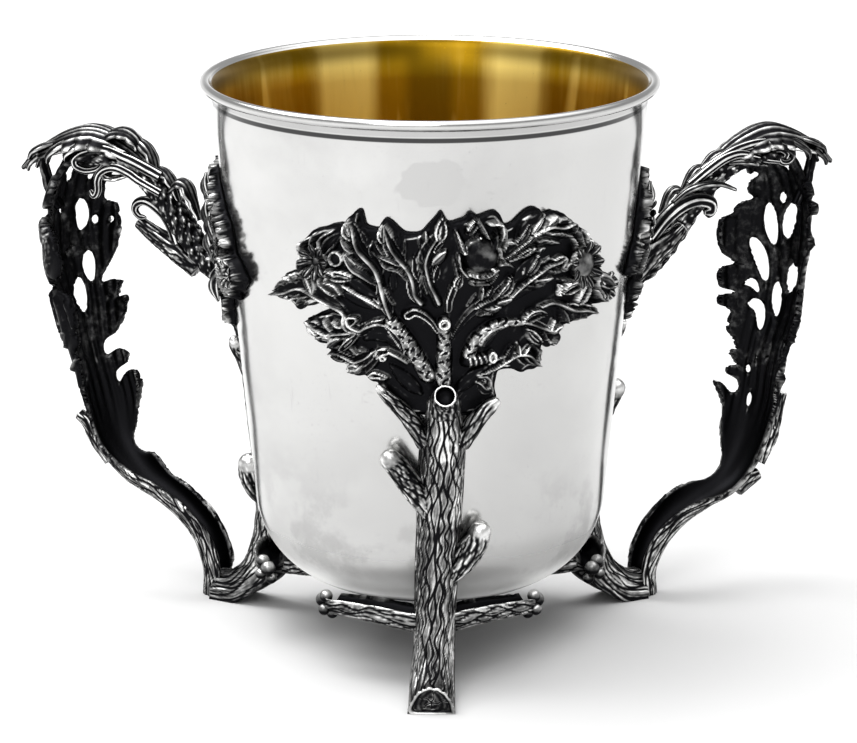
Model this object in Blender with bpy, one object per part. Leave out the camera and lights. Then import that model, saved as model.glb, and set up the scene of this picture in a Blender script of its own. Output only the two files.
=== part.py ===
"""Three-legged washing cup with two handles, in silver with a gilded inside.

The cup stands on three tree castings set 120 degrees apart. Each tree is a leg, a trunk on the wall
and a leafy crown. The two rear trees also carry a handle: a hollow branch that rises from the foot,
turns into an openwork leaf panel and comes back over the top to the crown.

Sizes are in millimetres, and each finished mesh is scaled to metres. The cup's axis is the Z axis, and the
table is at height 0. A casting is modelled facing -Y: a point is (side, reach, height), where side is to the
right of the casting's middle plane and reach is the distance out from the cup's axis.
"""

import math

import bmesh
import bpy
from mathutils import Vector

MM = 0.001
GAP = 0.3                     # between pieces that touch

# The cup.
RIM_RADIUS = 55.0             # outside of the rim bead
RIM_HEIGHT = 139.6            # top of the rim bead
BEAD_RADIUS = 1.25
WALL = 1.2
WALL_TOP_RADIUS = 52.4        # outside of the wall under the bead
WALL_SLOPE = 0.0975           # how much the radius grows for each millimetre up
CORNER_HEIGHT = 36.0          # where the wall turns into the rounded corner
CORNER_RADIUS = 23.0
BOTTOM_HEIGHT = 12.8          # outside of the bottom, at the axis
CUP_SIDES = 30

# The castings.
TREE_TURNS = {"front_tree": 0.0, "right_tree": 120.0, "left_tree": -120.0}
HANDLE_TURNS = {"right_handle": 120.0, "left_handle": -120.0}
FOOT_REACH = 61.0             # cut end of the log foot
PLATE = 1.1                   # the crown's dark backing
SHELL = 1.6                   # wall of the handle's hollow branch
FLAT_ENOUGH = 0.05            # radians between two faces that are merged into one

SILVER = (0.80, 0.80, 0.79, 1.0)
OXIDISED = (0.30, 0.30, 0.30, 1.0)


def wall_radius(height):
    """Outside radius of the straight wall."""
    return WALL_TOP_RADIUS - WALL_SLOPE * (RIM_HEIGHT - 2 * BEAD_RADIUS - height)


def vector(side, reach, height):
    """A casting's point in the front position, before it is turned to its place."""
    return Vector((side, -reach, height))


def on_wall(across, height, rise):
    """A point that stands `rise` off the cup's wall, `across` millimetres round it from the middle."""
    radius = wall_radius(height)
    turn = across / radius
    reach = radius + GAP + rise
    return Vector((reach * math.sin(turn), -reach * math.cos(turn), height))


def between(a, b, c, d, t):
    """Catmull-Rom value at the share t of the way from b to c."""
    return b + 0.5 * t * (c - a + t * (2 * a - 5 * b + 4 * c - d + t * (3 * b - a - 3 * c + d)))


def smooth_path(points, steps):
    """Smooth curve through tuples of any length. `steps` says how many pieces each span gets."""
    ends = [points[0], *points, points[-1]]
    path = []
    for pieces, *corners in zip(steps, ends, ends[1:], ends[2:], ends[3:]):
        for piece in range(pieces):
            path.append(tuple(between(*values, piece / pieces) for values in zip(*corners)))
    path.append(tuple(points[-1]))
    return path


def loft(rings):
    """Closed body through rings of equal length, capped at both ends."""
    body = bmesh.new()
    rows = [[body.verts.new(point) for point in ring] for ring in rings]
    count = len(rows[0])
    for low, high in zip(rows, rows[1:]):
        for i in range(count):
            j = (i + 1) % count
            body.faces.new((low[i], low[j], high[j], high[i]))
    body.faces.new(reversed(rows[0]))
    body.faces.new(rows[-1])
    bmesh.ops.recalc_face_normals(body, faces=body.faces)
    return body


def tube(centres, radii, sides=6):
    """Round branch through points in space."""
    rings = []
    for i, (centre, radius) in enumerate(zip(centres, radii)):
        along = (centres[min(i + 1, len(centres) - 1)] - centres[max(i - 1, 0)]).normalized()
        outward = Vector((centre.x, centre.y, 0)).normalized()
        cross = along.cross(outward).normalized()
        up = cross.cross(along)
        rings.append([
            centre + radius * (math.cos(a) * cross + math.sin(a) * up)
            for a in (2 * math.pi * k / sides for k in range(sides))
        ])
    return loft(rings)


def ball(centre, radius):
    """Small round bud."""
    body = bmesh.new()
    bmesh.ops.create_uvsphere(body, u_segments=5, v_segments=3, radius=radius)
    bmesh.ops.translate(body, vec=centre, verts=body.verts)
    return body


# ---------------------------------------------------------------- the cup

def cup_profile():
    """(radius, height) from the middle of the outside bottom, over the rim, to the middle inside."""
    lean = math.atan(WALL_SLOPE)
    corner_wall = wall_radius(CORNER_HEIGHT)
    centre = (corner_wall - CORNER_RADIUS * math.cos(lean), CORNER_HEIGHT + CORNER_RADIUS * math.sin(lean))
    floor_angle = math.radians(82)

    def corner(radius, count):
        angles = [floor_angle + (lean - floor_angle) * k / count for k in range(count + 1)]
        return [(centre[0] + radius * math.cos(a), centre[1] - radius * math.sin(a)) for a in angles]

    outside = corner(CORNER_RADIUS, 4)
    inside = corner(CORNER_RADIUS - WALL, 3)
    bead_centre = (RIM_RADIUS - BEAD_RADIUS, RIM_HEIGHT - BEAD_RADIUS)
    bead = [
        (bead_centre[0] + BEAD_RADIUS * math.cos(a), bead_centre[1] + BEAD_RADIUS * math.sin(a))
        for a in (math.radians(-130 + 280 * k / 4) for k in range(5))
    ]
    neck_height = RIM_HEIGHT - 2.6 * BEAD_RADIUS
    neck_radius = wall_radius(neck_height)

    def middle(first, height):
        """The slightly domed middle of the bottom: its centre and a point half way to the corner."""
        return [(0.0, height), (0.5 * first[0], 0.6 * height + 0.4 * first[1])]

    return (
        middle(outside[0], BOTTOM_HEIGHT)
        + outside
        + [(neck_radius, neck_height)]
        + bead
        + [(neck_radius - WALL, neck_height)]
        + list(reversed(inside))
        + list(reversed(middle(inside[0], BOTTOM_HEIGHT + WALL)))
    )


def cup_body():
    body = bmesh.new()
    rows = []
    for radius, height in cup_profile():
        if radius == 0:
            rows.append([body.verts.new((0, 0, height))])
            continue
        rows.append([
            body.verts.new((radius * math.cos(a), radius * math.sin(a), height))
            for a in (2 * math.pi * k / CUP_SIDES for k in range(CUP_SIDES))
        ])
    for low, high in zip(rows, rows[1:]):
        for i in range(CUP_SIDES):
            j = (i + 1) % CUP_SIDES
            corners = [low[i % len(low)], low[j % len(low)], high[j % len(high)], high[i % len(high)]]
            body.faces.new(dict.fromkeys(corners))
    bmesh.ops.recalc_face_normals(body, faces=body.faces)
    return body


# ---------------------------------------------------------------- the trees

# Stations down the trunk, where its back lies on the wall: height, depth, half the width, and how far the
# middle is to the side.
WALL_STATIONS = (
    (77, 5.0, 3.6, 3.3),
    (69, 6.0, 4.2, 3.1),
    (61, 6.4, 5.4, 2.9),
    (50, 6.6, 5.5, 2.4),
    (42, 6.6, 5.3, 2.1),
)
# Stations down the leg: the back of the section (reach, height), its ridge (reach, height), half the width,
# how far the middle is to the side, and how deep the back is hollowed.
LEG_STATIONS = (
    (42.6, 34.0, 49.3, 34.0, 5.3, 1.7, 0.4),
    (42.0, 26.0, 49.2, 26.5, 5.3, 1.3, 4.0),
    (41.8, 18.0, 50.2, 19.0, 5.3, 1.0, 5.6),
    (42.2, 11.0, 52.2, 13.2, 5.3, 0.8, 5.6),
    (45.0, 6.2, 54.2, 9.8, 5.4, 0.5, 3.0),
    (50.0, 2.4, 56.8, 7.7, 5.4, 0.2, 0.8),
    (54.5, 0.0, 58.5, 7.0, 5.3, 0.0, 0.0),
    (FOOT_REACH, 0.0, FOOT_REACH, 6.7, 5.3, 0.0, 0.0),
)


FLAT_BACK = 0.4               # hollow of a section that is nearly flat behind


def half_round(half, deep, hollow):
    """Section of the log: an arc over the front, and a shallower arc back along the hollow."""
    quarters = [math.pi * k / 4 for k in range(5)]
    inner = half - SHELL
    front = [(half * math.cos(a), deep * math.sin(a)) for a in quarters]
    return front + [(-inner * math.cos(a), hollow * math.sin(a)) for a in quarters[1:-1]]


def trunk_body():
    stations = []
    for height, deep, half, side in WALL_STATIONS:
        back = wall_radius(height) + GAP
        stations.append((back, height, back + deep, height, half, side, FLAT_BACK))
    stations += LEG_STATIONS
    rings = []
    for reach, height, ridge_reach, ridge_height, half, side, hollow in stations:
        deep = math.hypot(ridge_reach - reach, ridge_height - height)
        out = ((ridge_reach - reach) / deep, (ridge_height - height) / deep)
        rings.append([
            vector(side + x, reach + out[0] * y, height + out[1] * y)
            for x, y in half_round(half, deep, hollow)
        ])
    return loft(rings)


def strut_body():
    """Branch that runs inwards from the leg and holds the cup's bottom."""
    line = ((45.5, 11.8, 3.0), (40.0, 11.9, 3.2), (34.0, 12.2, 3.1), (28.5, 12.6, 2.7), (26.5, 12.7, 1.4))
    return tube([vector(0.6, reach, height) for reach, height, _ in line], [radius for *_, radius in line])


def round_axis(reach, degrees, height):
    """A point at a turn about the cup's axis, counted from the casting's middle plane."""
    turn = math.radians(degrees)
    return vector(reach * math.sin(turn), reach * math.cos(turn), height)


# Side branches: degrees round the cup, reach, height and radius of the section, at the root and at the end.
ARM_ROOT = (4.0, 40.6, 17.6, 4.7)
ARM_END = (36.0, 39.4, 18.5, 3.4)
ARM_WALL = 1.3
BUD = (37.5, 40.4, 17.2, 3.4)


def arm_body(hand):
    """Hollow branch that curls round under the cup's corner; `hand` is 1 to the right, -1 to the left."""
    outside = [math.radians(15 - 205 * i / 4) for i in range(5)]
    inside = [math.radians(-175 + 165 * i / 2) for i in range(3)]
    rings = []
    for k in range(4):
        degrees, reach, height, radius = (a + (b - a) * k / 3 for a, b in zip(ARM_ROOT, ARM_END))
        section = [(radius, a) for a in outside] + [(radius - ARM_WALL, a) for a in inside]
        rings.append([
            round_axis(reach + size * math.cos(a), hand * degrees, height + size * math.sin(a))
            for size, a in section
        ])
    return loft(rings)


def bud_body(hand):
    """Round bud that ends a side branch."""
    degrees, reach, height, radius = BUD
    return ball(round_axis(reach, hand * degrees, height), radius)


# Outline of the crown's backing: (across, height), anticlockwise from the trunk's right side.
CROWN_OUTLINE = (
    (9, 70), (16, 75.5), (27, 76.5), (32, 85), (49, 90), (54, 94), (49.5, 99), (46.5, 105), (40, 109.5),
    (30, 114.5), (20, 112.5), (12, 115), (7, 112), (-4, 111), (-14, 112), (-18, 116), (-22, 111),
    (-31, 109.5), (-35.5, 101), (-42, 94), (-31, 91.5), (-31, 87.5), (-25, 82), (-14, 75.5), (-3, 70),
)
PLATE_STEP = 12.0             # width of the strips that bend the backing round the cup
PLATE_LIFT = 0.2              # keeps the middle of a strip off the wall


def plate_body():
    body = bmesh.new()
    body.faces.new([body.verts.new((x, z, 0)) for x, z in CROWN_OUTLINE])
    cut = math.ceil(min(x for x, _ in CROWN_OUTLINE) / PLATE_STEP) * PLATE_STEP
    while cut < max(x for x, _ in CROWN_OUTLINE):
        everything = [*body.verts, *body.edges, *body.faces]
        bmesh.ops.bisect_plane(body, geom=everything, plane_co=(cut, 0, 0), plane_no=(1, 0, 0))
        cut += PLATE_STEP
    front = list(body.faces)
    raised = bmesh.ops.extrude_face_region(body, geom=front)["geom"]
    for vert in (item for item in raised if isinstance(item, bmesh.types.BMVert)):
        vert.co.z = PLATE
    for vert in body.verts:
        vert.co = on_wall(vert.co.x, vert.co.y, PLATE_LIFT + vert.co.z)
    bmesh.ops.recalc_face_normals(body, faces=body.faces)
    return body


# Leaves of the crown: (across, height) of the base and of the tip, half the width, and the rise of the rib.
LEAVES = (
    ((-10, 98), (-19, 114.5), 4.2, 3.6),
    ((-5, 97), (-10.5, 113), 3.8, 3.4),
    ((0, 95), (3, 115.5), 3.6, 3.4),
    ((17, 104), (34, 114), 4.6, 3.6),
    ((12, 92), (34, 103.5), 4.2, 3.4),
    ((-19, 91), (-42, 94), 4.0, 3.4),
    ((-17, 88.5), (-31, 88.3), 3.4, 3.0),
    ((-12, 83), (-26, 82.3), 3.2, 3.0),
    ((13, 77.5), (28.5, 78.5), 3.4, 3.0),
    ((25, 90), (43, 87.5), 3.6, 3.0),
)
LEAF_LOBES = 2


def leaf_body(base, tip, half, rise):
    """Pointed leaf with a raised rib and scalloped sides, lying on the backing."""
    across, up = tip[0] - base[0], tip[1] - base[1]
    long = math.hypot(across, up)
    steps = 2 * LEAF_LOBES
    rings = []
    for k in range(steps + 1):
        t = 0.04 + 0.95 * k / steps
        notch = 1.0 if k % 2 else 0.68
        wide = half * math.sin(math.pi * t ** 0.8) ** 0.7 * notch + 0.25
        high = PLATE + (rise - PLATE) * math.sin(math.pi * min(0.25 + t * 0.75, 1)) ** 0.5 + 0.3
        rings.append([
            on_wall(base[0] + across * t - up / long * x, base[1] + up * t + across / long * x, y)
            for x, y in ((wide, 0.5), (0, high), (-wide, 0.5))
        ])
    return loft(rings)


# Flowers: (across, height) of the middle, radius, rise, number of petals.
FLOWERS = ((-28, 103.3, 5.8, 4.4, 5), (40.5, 100.9, 5.8, 4.4, 5), (46.5, 93.2, 3.4, 4.6, 3))


def flower_body(across, height, radius, rise, petals):
    """Cup-shaped flower with scalloped edge."""
    rings = []
    for share, level in ((0.8, 0.5), (1.0, 0.8 * rise), (0.5, rise)):
        ring = []
        for k in range(2 * petals):
            angle = math.pi * k / petals
            reach = radius * share * (1.0 if k % 2 else 0.8)
            ring.append(on_wall(across + reach * math.cos(angle), height + reach * math.sin(angle), level))
        rings.append(ring)
    return loft(rings)


# Branches of the crown: points (across, height, rise) and the radius at the two ends.
BRANCHES = (
    (((3.2, 74, 2.4), (3.4, 82, 2.8), (3.6, 90.5, 3.0)), 2.5, 1.7),
    (((1.0, 74, 2.2), (-3.5, 82, 2.8), (-8.5, 91, 2.8), (-12, 101, 2.4)), 2.5, 1.2),
    (((5.5, 74, 2.2), (10, 82, 2.8), (17.5, 89.5, 2.8), (28, 91, 2.4)), 2.4, 1.3),
    (((-1.5, 64, 2.4), (-6.5, 70, 2.4), (-12.5, 77, 2.4)), 2.3, 1.4),
    (((7.5, 62, 2.4), (12, 68, 2.6), (15.5, 72, 2.6)), 2.3, 1.6),
    (((3.6, 89, 2.4), (6.5, 97, 2.0), (10.0, 104, 2.6)), 1.5, 1.4),
)
POMEGRANATE = (11.8, 106.2, 4.6, 4.3)     # across, height, rise of the middle, radius


def crown_bodies():
    bodies = [plate_body()]
    bodies += [leaf_body(*leaf) for leaf in LEAVES]
    bodies += [flower_body(*flower) for flower in FLOWERS]
    for points, thick, thin in BRANCHES:
        radii = [thick + (thin - thick) * k / (len(points) - 1) for k in range(len(points))]
        bodies.append(tube([on_wall(*point) for point in points], radii, 5))
    across, height, rise, radius = POMEGRANATE
    bodies.append(ball(on_wall(across, height, rise), radius))
    crown = [on_wall(across - 0.4, height + 2, rise), on_wall(across - 1.0, height + 8.5, rise - 1)]
    bodies.append(tube(crown, [1.6, 3.0]))
    return bodies


def knot_bodies():
    """Stubs on the trunk: one low on the right, one higher on the left, and a sawn-off one at the top."""
    return [
        tube([on_wall(3.0, 29, 3.4), on_wall(8.5, 38, 3.2), on_wall(11.5, 42.5, 3.0)], [1.8, 3.2, 2.2]),
        tube([on_wall(-0.5, 52, 2.8), on_wall(-5.5, 57, 2.9), on_wall(-9.0, 60.5, 3.0)], [2.6, 2.3, 2.3]),
        tube([on_wall(3.0, 73.5, 3.5), on_wall(3.0, 75.5, 7.6)], [3.0, 2.7]),
    ]


def tree_bodies():
    bodies = [trunk_body(), strut_body()]
    for hand in (1, -1):
        bodies += [arm_body(hand), bud_body(hand)]
    return bodies + knot_bodies() + crown_bodies()


# ---------------------------------------------------------------- the handles

# Middle line of the hollow branch, from the floor up and over to the crown: reach, height, radius of the
# section, and the angle to which its sides wrap round, in degrees.
HANDLE_LINE = (
    (61.7, 0.0, 4.3, 84), (61.6, 7.5, 4.4, 84), (64.6, 15.6, 4.4, 95), (70.5, 21.8, 4.5, 98),
    (77.6, 26.6, 4.9, 98), (84.6, 31.2, 5.7, 98), (89.4, 38.0, 6.9, 98), (92.2, 46.0, 8.2, 100),
    (94.6, 55.0, 8.6, 84), (97.0, 65.0, 9.4, 104), (98.8, 75.0, 10.4, 92), (99.5, 85.0, 11.4, 108),
    (99.3, 95.0, 11.4, 92), (97.8, 103.0, 9.2, 92), (92.5, 108.0, 6.6, 90), (85.0, 107.0, 5.2, 88),
    (77.5, 101.0, 4.3, 88), (70.5, 92.5, 3.9, 90), (64.5, 86.0, 3.8, 90), (58.6, 82.4, 3.8, 90),
    (53.2, 81.6, 3.6, 90),
)
# Columns of the section, as shares of that angle. The middle one is the panel's stem.
COLUMNS = (-1.0, -0.56, -0.14, 0.14, 0.56, 1.0)
# Rows of the sheet in each span of the line: the panel is finer than the stems above and below it.
HANDLE_STEPS = (1,) * 7 + (2,) * 7 + (1,) * 6
# Openings of the panel: column, first and last row.
OPENINGS = ((1, 7, 9), (3, 9, 11), (1, 11, 13), (3, 13, 15), (1, 15, 17), (3, 17, 19), (1, 19, 20))


def handle_shell():
    """The bent, hollow branch, as a thick sheet with openings."""
    line = smooth_path(HANDLE_LINE, HANDLE_STEPS)
    body = bmesh.new()
    outer, inner = [], []
    for i, (reach, height, radius, wrap) in enumerate(line):
        before, after = line[max(i - 1, 0)], line[min(i + 1, len(line) - 1)]
        along = Vector((after[0] - before[0], after[1] - before[1]))
        if i == 0:
            along = Vector((0, 1))
        along.normalize()
        out = (along.y, -along.x)
        for rows, size in ((outer, radius), (inner, radius - SHELL)):
            row = []
            for share in COLUMNS:
                angle = math.radians(wrap) * share
                push = size * math.cos(angle)
                point = vector(size * math.sin(angle), reach + out[0] * push, height + out[1] * push)
                row.append(body.verts.new(point))
            rows.append(row)
    open_cells = {(row, column) for column, first, last in OPENINGS for row in range(first, last + 1)}
    cells = {(i, j) for i in range(len(line) - 1) for j in range(len(COLUMNS) - 1)} - open_cells
    for i, j in cells:
        corners = ((i, j), (i, j + 1), (i + 1, j + 1), (i + 1, j))
        body.faces.new([outer[a][b] for a, b in corners])
        body.faces.new([inner[a][b] for a, b in reversed(corners)])
        neighbours = ((i - 1, j), (i, j + 1), (i + 1, j), (i, j - 1))
        for neighbour, (a, b), (c, d) in zip(neighbours, corners, corners[1:] + corners[:1]):
            if neighbour not in cells:
                body.faces.new((outer[a][b], inner[a][b], inner[c][d], outer[c][d]))
    bmesh.ops.recalc_face_normals(body, faces=body.faces)
    return body


# Leaf over the top of the handle: reach, height, half width, droop of its sides, thickness.
CAP_LEAF = (
    (78.5, 106.5, 3.0, 1.0, 1.8), (85.0, 112.6, 5.6, 2.0, 2.4), (92.0, 115.6, 7.6, 3.2, 2.6),
    (99.5, 116.0, 8.6, 4.0, 2.6), (107.0, 112.9, 7.4, 3.4, 2.4), (114.0, 108.4, 4.2, 1.6, 2.0),
    (119.8, 104.2, 0.9, 0.3, 1.0),
)


def cap_leaf_body():
    rings = []
    for reach, height, half, droop, thick in CAP_LEAF:
        above = [(0.55 * half, 0.6 * thick - 0.35 * droop), (0, 0.5 * thick)]
        below = [(-0.5 * half, -0.5 * thick - 0.4 * droop), (0.5 * half, -0.5 * thick - 0.4 * droop)]
        left = [(-0.55 * half, above[0][1]), (-half, -droop)]
        section = [(half, -droop), *above, *left, *below]
        rings.append([vector(x, reach, height + y) for x, y in section])
    return loft(rings)


# Twigs of the handle: points (side, reach, height) and the radius at the two ends.
TWIGS = (
    (((0, 92.5, 33), (0, 98.5, 38.5), (0, 102.0, 44.0)), 3.2, 2.4),
    (((-2, 84, 27.5), (-4.5, 89.5, 27.0), (-5.5, 94.0, 27.2)), 3.0, 2.4),
    (((1, 62, 82.5), (4.5, 70, 87.0), (7.5, 78.5, 94.0)), 2.4, 2.3),
    (((3.2, 68, 90.0), (2.6, 76, 97.0), (1.6, 83, 98.2), (0.8, 86.2, 95.5), (0, 84.6, 92.6)), 2.0, 1.4),
    (((-4.4, 84, 106.5), (-5.4, 89, 104.2), (-6.5, 93.0, 100.0), (-6.5, 91.0, 96.6)), 2.0, 1.4),
    (((4.4, 84, 106.5), (5.4, 90, 105.6), (6.8, 95.4, 103.0), (6.8, 93.6, 99.4)), 2.0, 1.4),
)


def handle_bodies():
    bodies = [handle_shell(), cap_leaf_body()]
    for points, thick, thin in TWIGS:
        radii = [thick + (thin - thick) * k / (len(points) - 1) for k in range(len(points))]
        bodies.append(tube([vector(*point) for point in points], radii, 5))
    return bodies


# ---------------------------------------------------------------- objects

def material(name, colour, metallic, roughness):
    made = bpy.data.materials.new(name)
    made.use_nodes = True
    shader = made.node_tree.nodes["Principled BSDF"]
    shader.inputs["Base Color"].default_value = colour
    shader.inputs["Metallic"].default_value = metallic
    shader.inputs["Roughness"].default_value = roughness
    return made


def add_object(name, body, finish):
    """A linked object, in metres, from a body in millimetres."""
    bmesh.ops.scale(body, vec=(MM, MM, MM), verts=body.verts)
    mesh = bpy.data.meshes.new(name)
    body.to_mesh(mesh)
    body.free()
    mesh.materials.append(finish)
    made = bpy.data.objects.new(name, mesh)
    bpy.context.scene.collection.objects.link(made)
    return made


def joined(name, bodies, finish):
    """One mesh from overlapping closed bodies, by Boolean unions, with nearly flat neighbours merged."""
    first, *others = [add_object(f"{name}_{i}", body, finish) for i, body in enumerate(bodies)]
    for other in others:
        union = first.modifiers.new("Union", "BOOLEAN")
        union.operation = "UNION"
        union.solver = "MANIFOLD"
        union.object = other
    bpy.context.view_layer.update()
    mesh = bpy.data.meshes.new_from_object(first.evaluated_get(bpy.context.evaluated_depsgraph_get()))
    mesh.name = name
    for helper in (first, *others):
        bpy.data.objects.remove(helper)
    body = bmesh.new()
    body.from_mesh(mesh)
    bmesh.ops.dissolve_limit(body, angle_limit=FLAT_ENOUGH, verts=body.verts, edges=body.edges)
    bmesh.ops.triangulate(body, faces=body.faces)
    body.to_mesh(mesh)
    body.free()
    return mesh


def place(name, mesh, turn):
    """One copy of a casting, turned about the cup's axis."""
    made = bpy.data.objects.new(name, mesh)
    bpy.context.scene.collection.objects.link(made)
    made.rotation_euler.z = math.radians(turn)


def main():
    for old in list(bpy.data.objects):
        bpy.data.objects.remove(old)
    silver = material("polished_silver", SILVER, 1.0, 0.22)
    oxidised = material("oxidised_silver", OXIDISED, 1.0, 0.42)

    cup = add_object("cup", cup_body(), silver)
    cup.data.shade_smooth()

    tree = joined("tree", tree_bodies(), oxidised)
    for name, turn in TREE_TURNS.items():
        place(name, tree, turn)

    handle = joined("handle", handle_bodies(), oxidised)
    for name, turn in HANDLE_TURNS.items():
        place(name, handle, turn)


if __name__ == "__main__":
    main()
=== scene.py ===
"""Washing cup on three tree castings, with two branch handles: oxidised silver trees, a polished
silver cup and a gilded inside.

Sizes in the code are millimetres in a casting's own front position: side is to the right of its middle
plane, reach is the distance out from the cup's axis, and height is above the table. On the cup's wall a
point is (across, height, rise): round the wall, up, and off its surface.
"""

import math
from collections import namedtuple

import bmesh
import bpy
import numpy as np
from bpy.props import FloatProperty, FloatVectorProperty, IntProperty, PointerProperty
from mathutils import Matrix, Vector


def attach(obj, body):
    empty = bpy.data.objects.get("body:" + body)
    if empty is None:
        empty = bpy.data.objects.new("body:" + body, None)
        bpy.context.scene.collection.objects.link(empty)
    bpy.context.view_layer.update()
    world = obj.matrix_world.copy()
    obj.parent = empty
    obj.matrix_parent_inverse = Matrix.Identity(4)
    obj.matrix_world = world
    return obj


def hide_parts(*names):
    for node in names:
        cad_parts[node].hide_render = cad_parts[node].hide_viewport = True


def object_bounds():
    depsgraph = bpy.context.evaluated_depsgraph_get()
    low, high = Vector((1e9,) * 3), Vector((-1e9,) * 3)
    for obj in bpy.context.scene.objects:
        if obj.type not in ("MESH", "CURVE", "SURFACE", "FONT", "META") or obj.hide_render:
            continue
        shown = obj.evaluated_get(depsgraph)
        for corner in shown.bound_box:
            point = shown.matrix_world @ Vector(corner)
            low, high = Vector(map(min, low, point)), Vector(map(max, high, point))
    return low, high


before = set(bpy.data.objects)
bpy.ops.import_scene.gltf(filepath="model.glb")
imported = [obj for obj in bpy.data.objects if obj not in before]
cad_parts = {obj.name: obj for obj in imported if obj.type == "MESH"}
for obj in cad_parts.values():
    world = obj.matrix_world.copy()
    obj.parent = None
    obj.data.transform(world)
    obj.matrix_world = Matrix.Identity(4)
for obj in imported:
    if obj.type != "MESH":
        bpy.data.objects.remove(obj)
CAD_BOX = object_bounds()

bl_info = {
    "name": "Washing Cup with Tree Handles",
    "version": (1, 0, 0),
    "blender": (4, 5, 0),
    "location": "3D View > Sidebar > Washing Cup",
    "description": "Builds a silver washing cup that stands on three tree castings and has two branch handles",
    "category": "Object",
}

MM = 0.001
GAP = 0.3                     # between the wall and what is soldered to it
WALL_TOP_HEIGHT = 137.1
WALL_TOP_RADIUS = 52.4
WALL_SLOPE = 0.0975
TREE_TURNS = {"front": 0.0, "right": 120.0, "left": -120.0}
BIG = 1e9
FINE_STEP = 0.3               # reliefs with smaller faces than this are the ones that face the camera
# Every branch's bark has a seed of its own.
TRUNK_SEED, ARM_SEED, HANDLE_SEED, STRUT_SEED, KNOT_SEED, STUB_SEED = 4, 11, 15, 21, 31, 51


# ---------------------------------------------------------------- curves and coordinates

def smooth_path(points, count, closed=False, lead=None, steps=24):
    """Smooth curve through rows of numbers at equal distances, which the first `lead` columns measure."""
    rows = np.asarray(points, float)
    if closed:
        rows = np.vstack([rows[-1], rows, rows[0], rows[1]])
    else:
        rows = np.vstack([2 * rows[0] - rows[1], rows, 2 * rows[-1] - rows[-2]])
    t = (np.arange(steps) / steps)[:, None]
    spans = []
    for a, b, c, d in zip(rows, rows[1:], rows[2:], rows[3:]):
        spans.append(b + 0.5 * t * (c - a + t * (2 * a - 5 * b + 4 * c - d + t * (3 * b - a - 3 * c + d))))
    path = np.vstack([*spans, rows[-2]])
    return spread(path, count, lead)


def spread(path, count, lead=None):
    """The same polyline with its points at equal distances."""
    lead = lead or min(path.shape[1], 3)
    length = np.concatenate([[0], np.cumsum(steps_of(path[:, :lead]))])
    wanted = np.linspace(0, length[-1], count)
    return np.stack([np.interp(wanted, length, path[:, k]) for k in range(path.shape[1])], axis=1)


def steps_of(path):
    """Lengths of the steps from point to point."""
    return np.linalg.norm(np.diff(path, axis=0), axis=1)


def pairs(numbers):
    """Flat numbers as rows of two."""
    return np.reshape(numbers, (-1, 2)).astype(float)


def peak(value, width, middle=0.0):
    """Bell curve: 1 at the middle, falling away within the width."""
    return np.exp(-((value - middle) / width) ** 2)


def clamped(value):
    return np.clip(value, 0, 1)


def arch(q):
    """Height of a round section at the share q of its half width."""
    return np.sqrt(clamped(1 - q ** 2))


def unit(vectors):
    return vectors / np.maximum(np.linalg.norm(vectors, axis=-1, keepdims=True), 1e-9)


def tangents(path):
    return unit(np.gradient(path, axis=0))


def wall_radius(height):
    return WALL_TOP_RADIUS - WALL_SLOPE * (WALL_TOP_HEIGHT - height)


def local(side, reach, height):
    """Casting coordinates to space, still facing the front."""
    return np.stack(np.broadcast_arrays(side, -np.asarray(reach, float), height), axis=-1).astype(float)


def on_wall(across, height, rise):
    radius = wall_radius(height)
    turn = across / radius
    reach = radius + GAP + rise
    return np.stack([reach * np.sin(turn), -reach * np.cos(turn), height + 0 * turn], axis=-1)


def scatter(index, seed):
    """A fixed number from 0 to 1 for each whole number."""
    value = np.sin(np.asarray(index, float) * 12.9898 + seed * 78.233) * 43758.5453
    return value - np.floor(value)


def step_smooth(low, high, value):
    t = clamped((value - low) / (high - low))
    return t * t * (3 - 2 * t)


# ---------------------------------------------------------------- bodies

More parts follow.
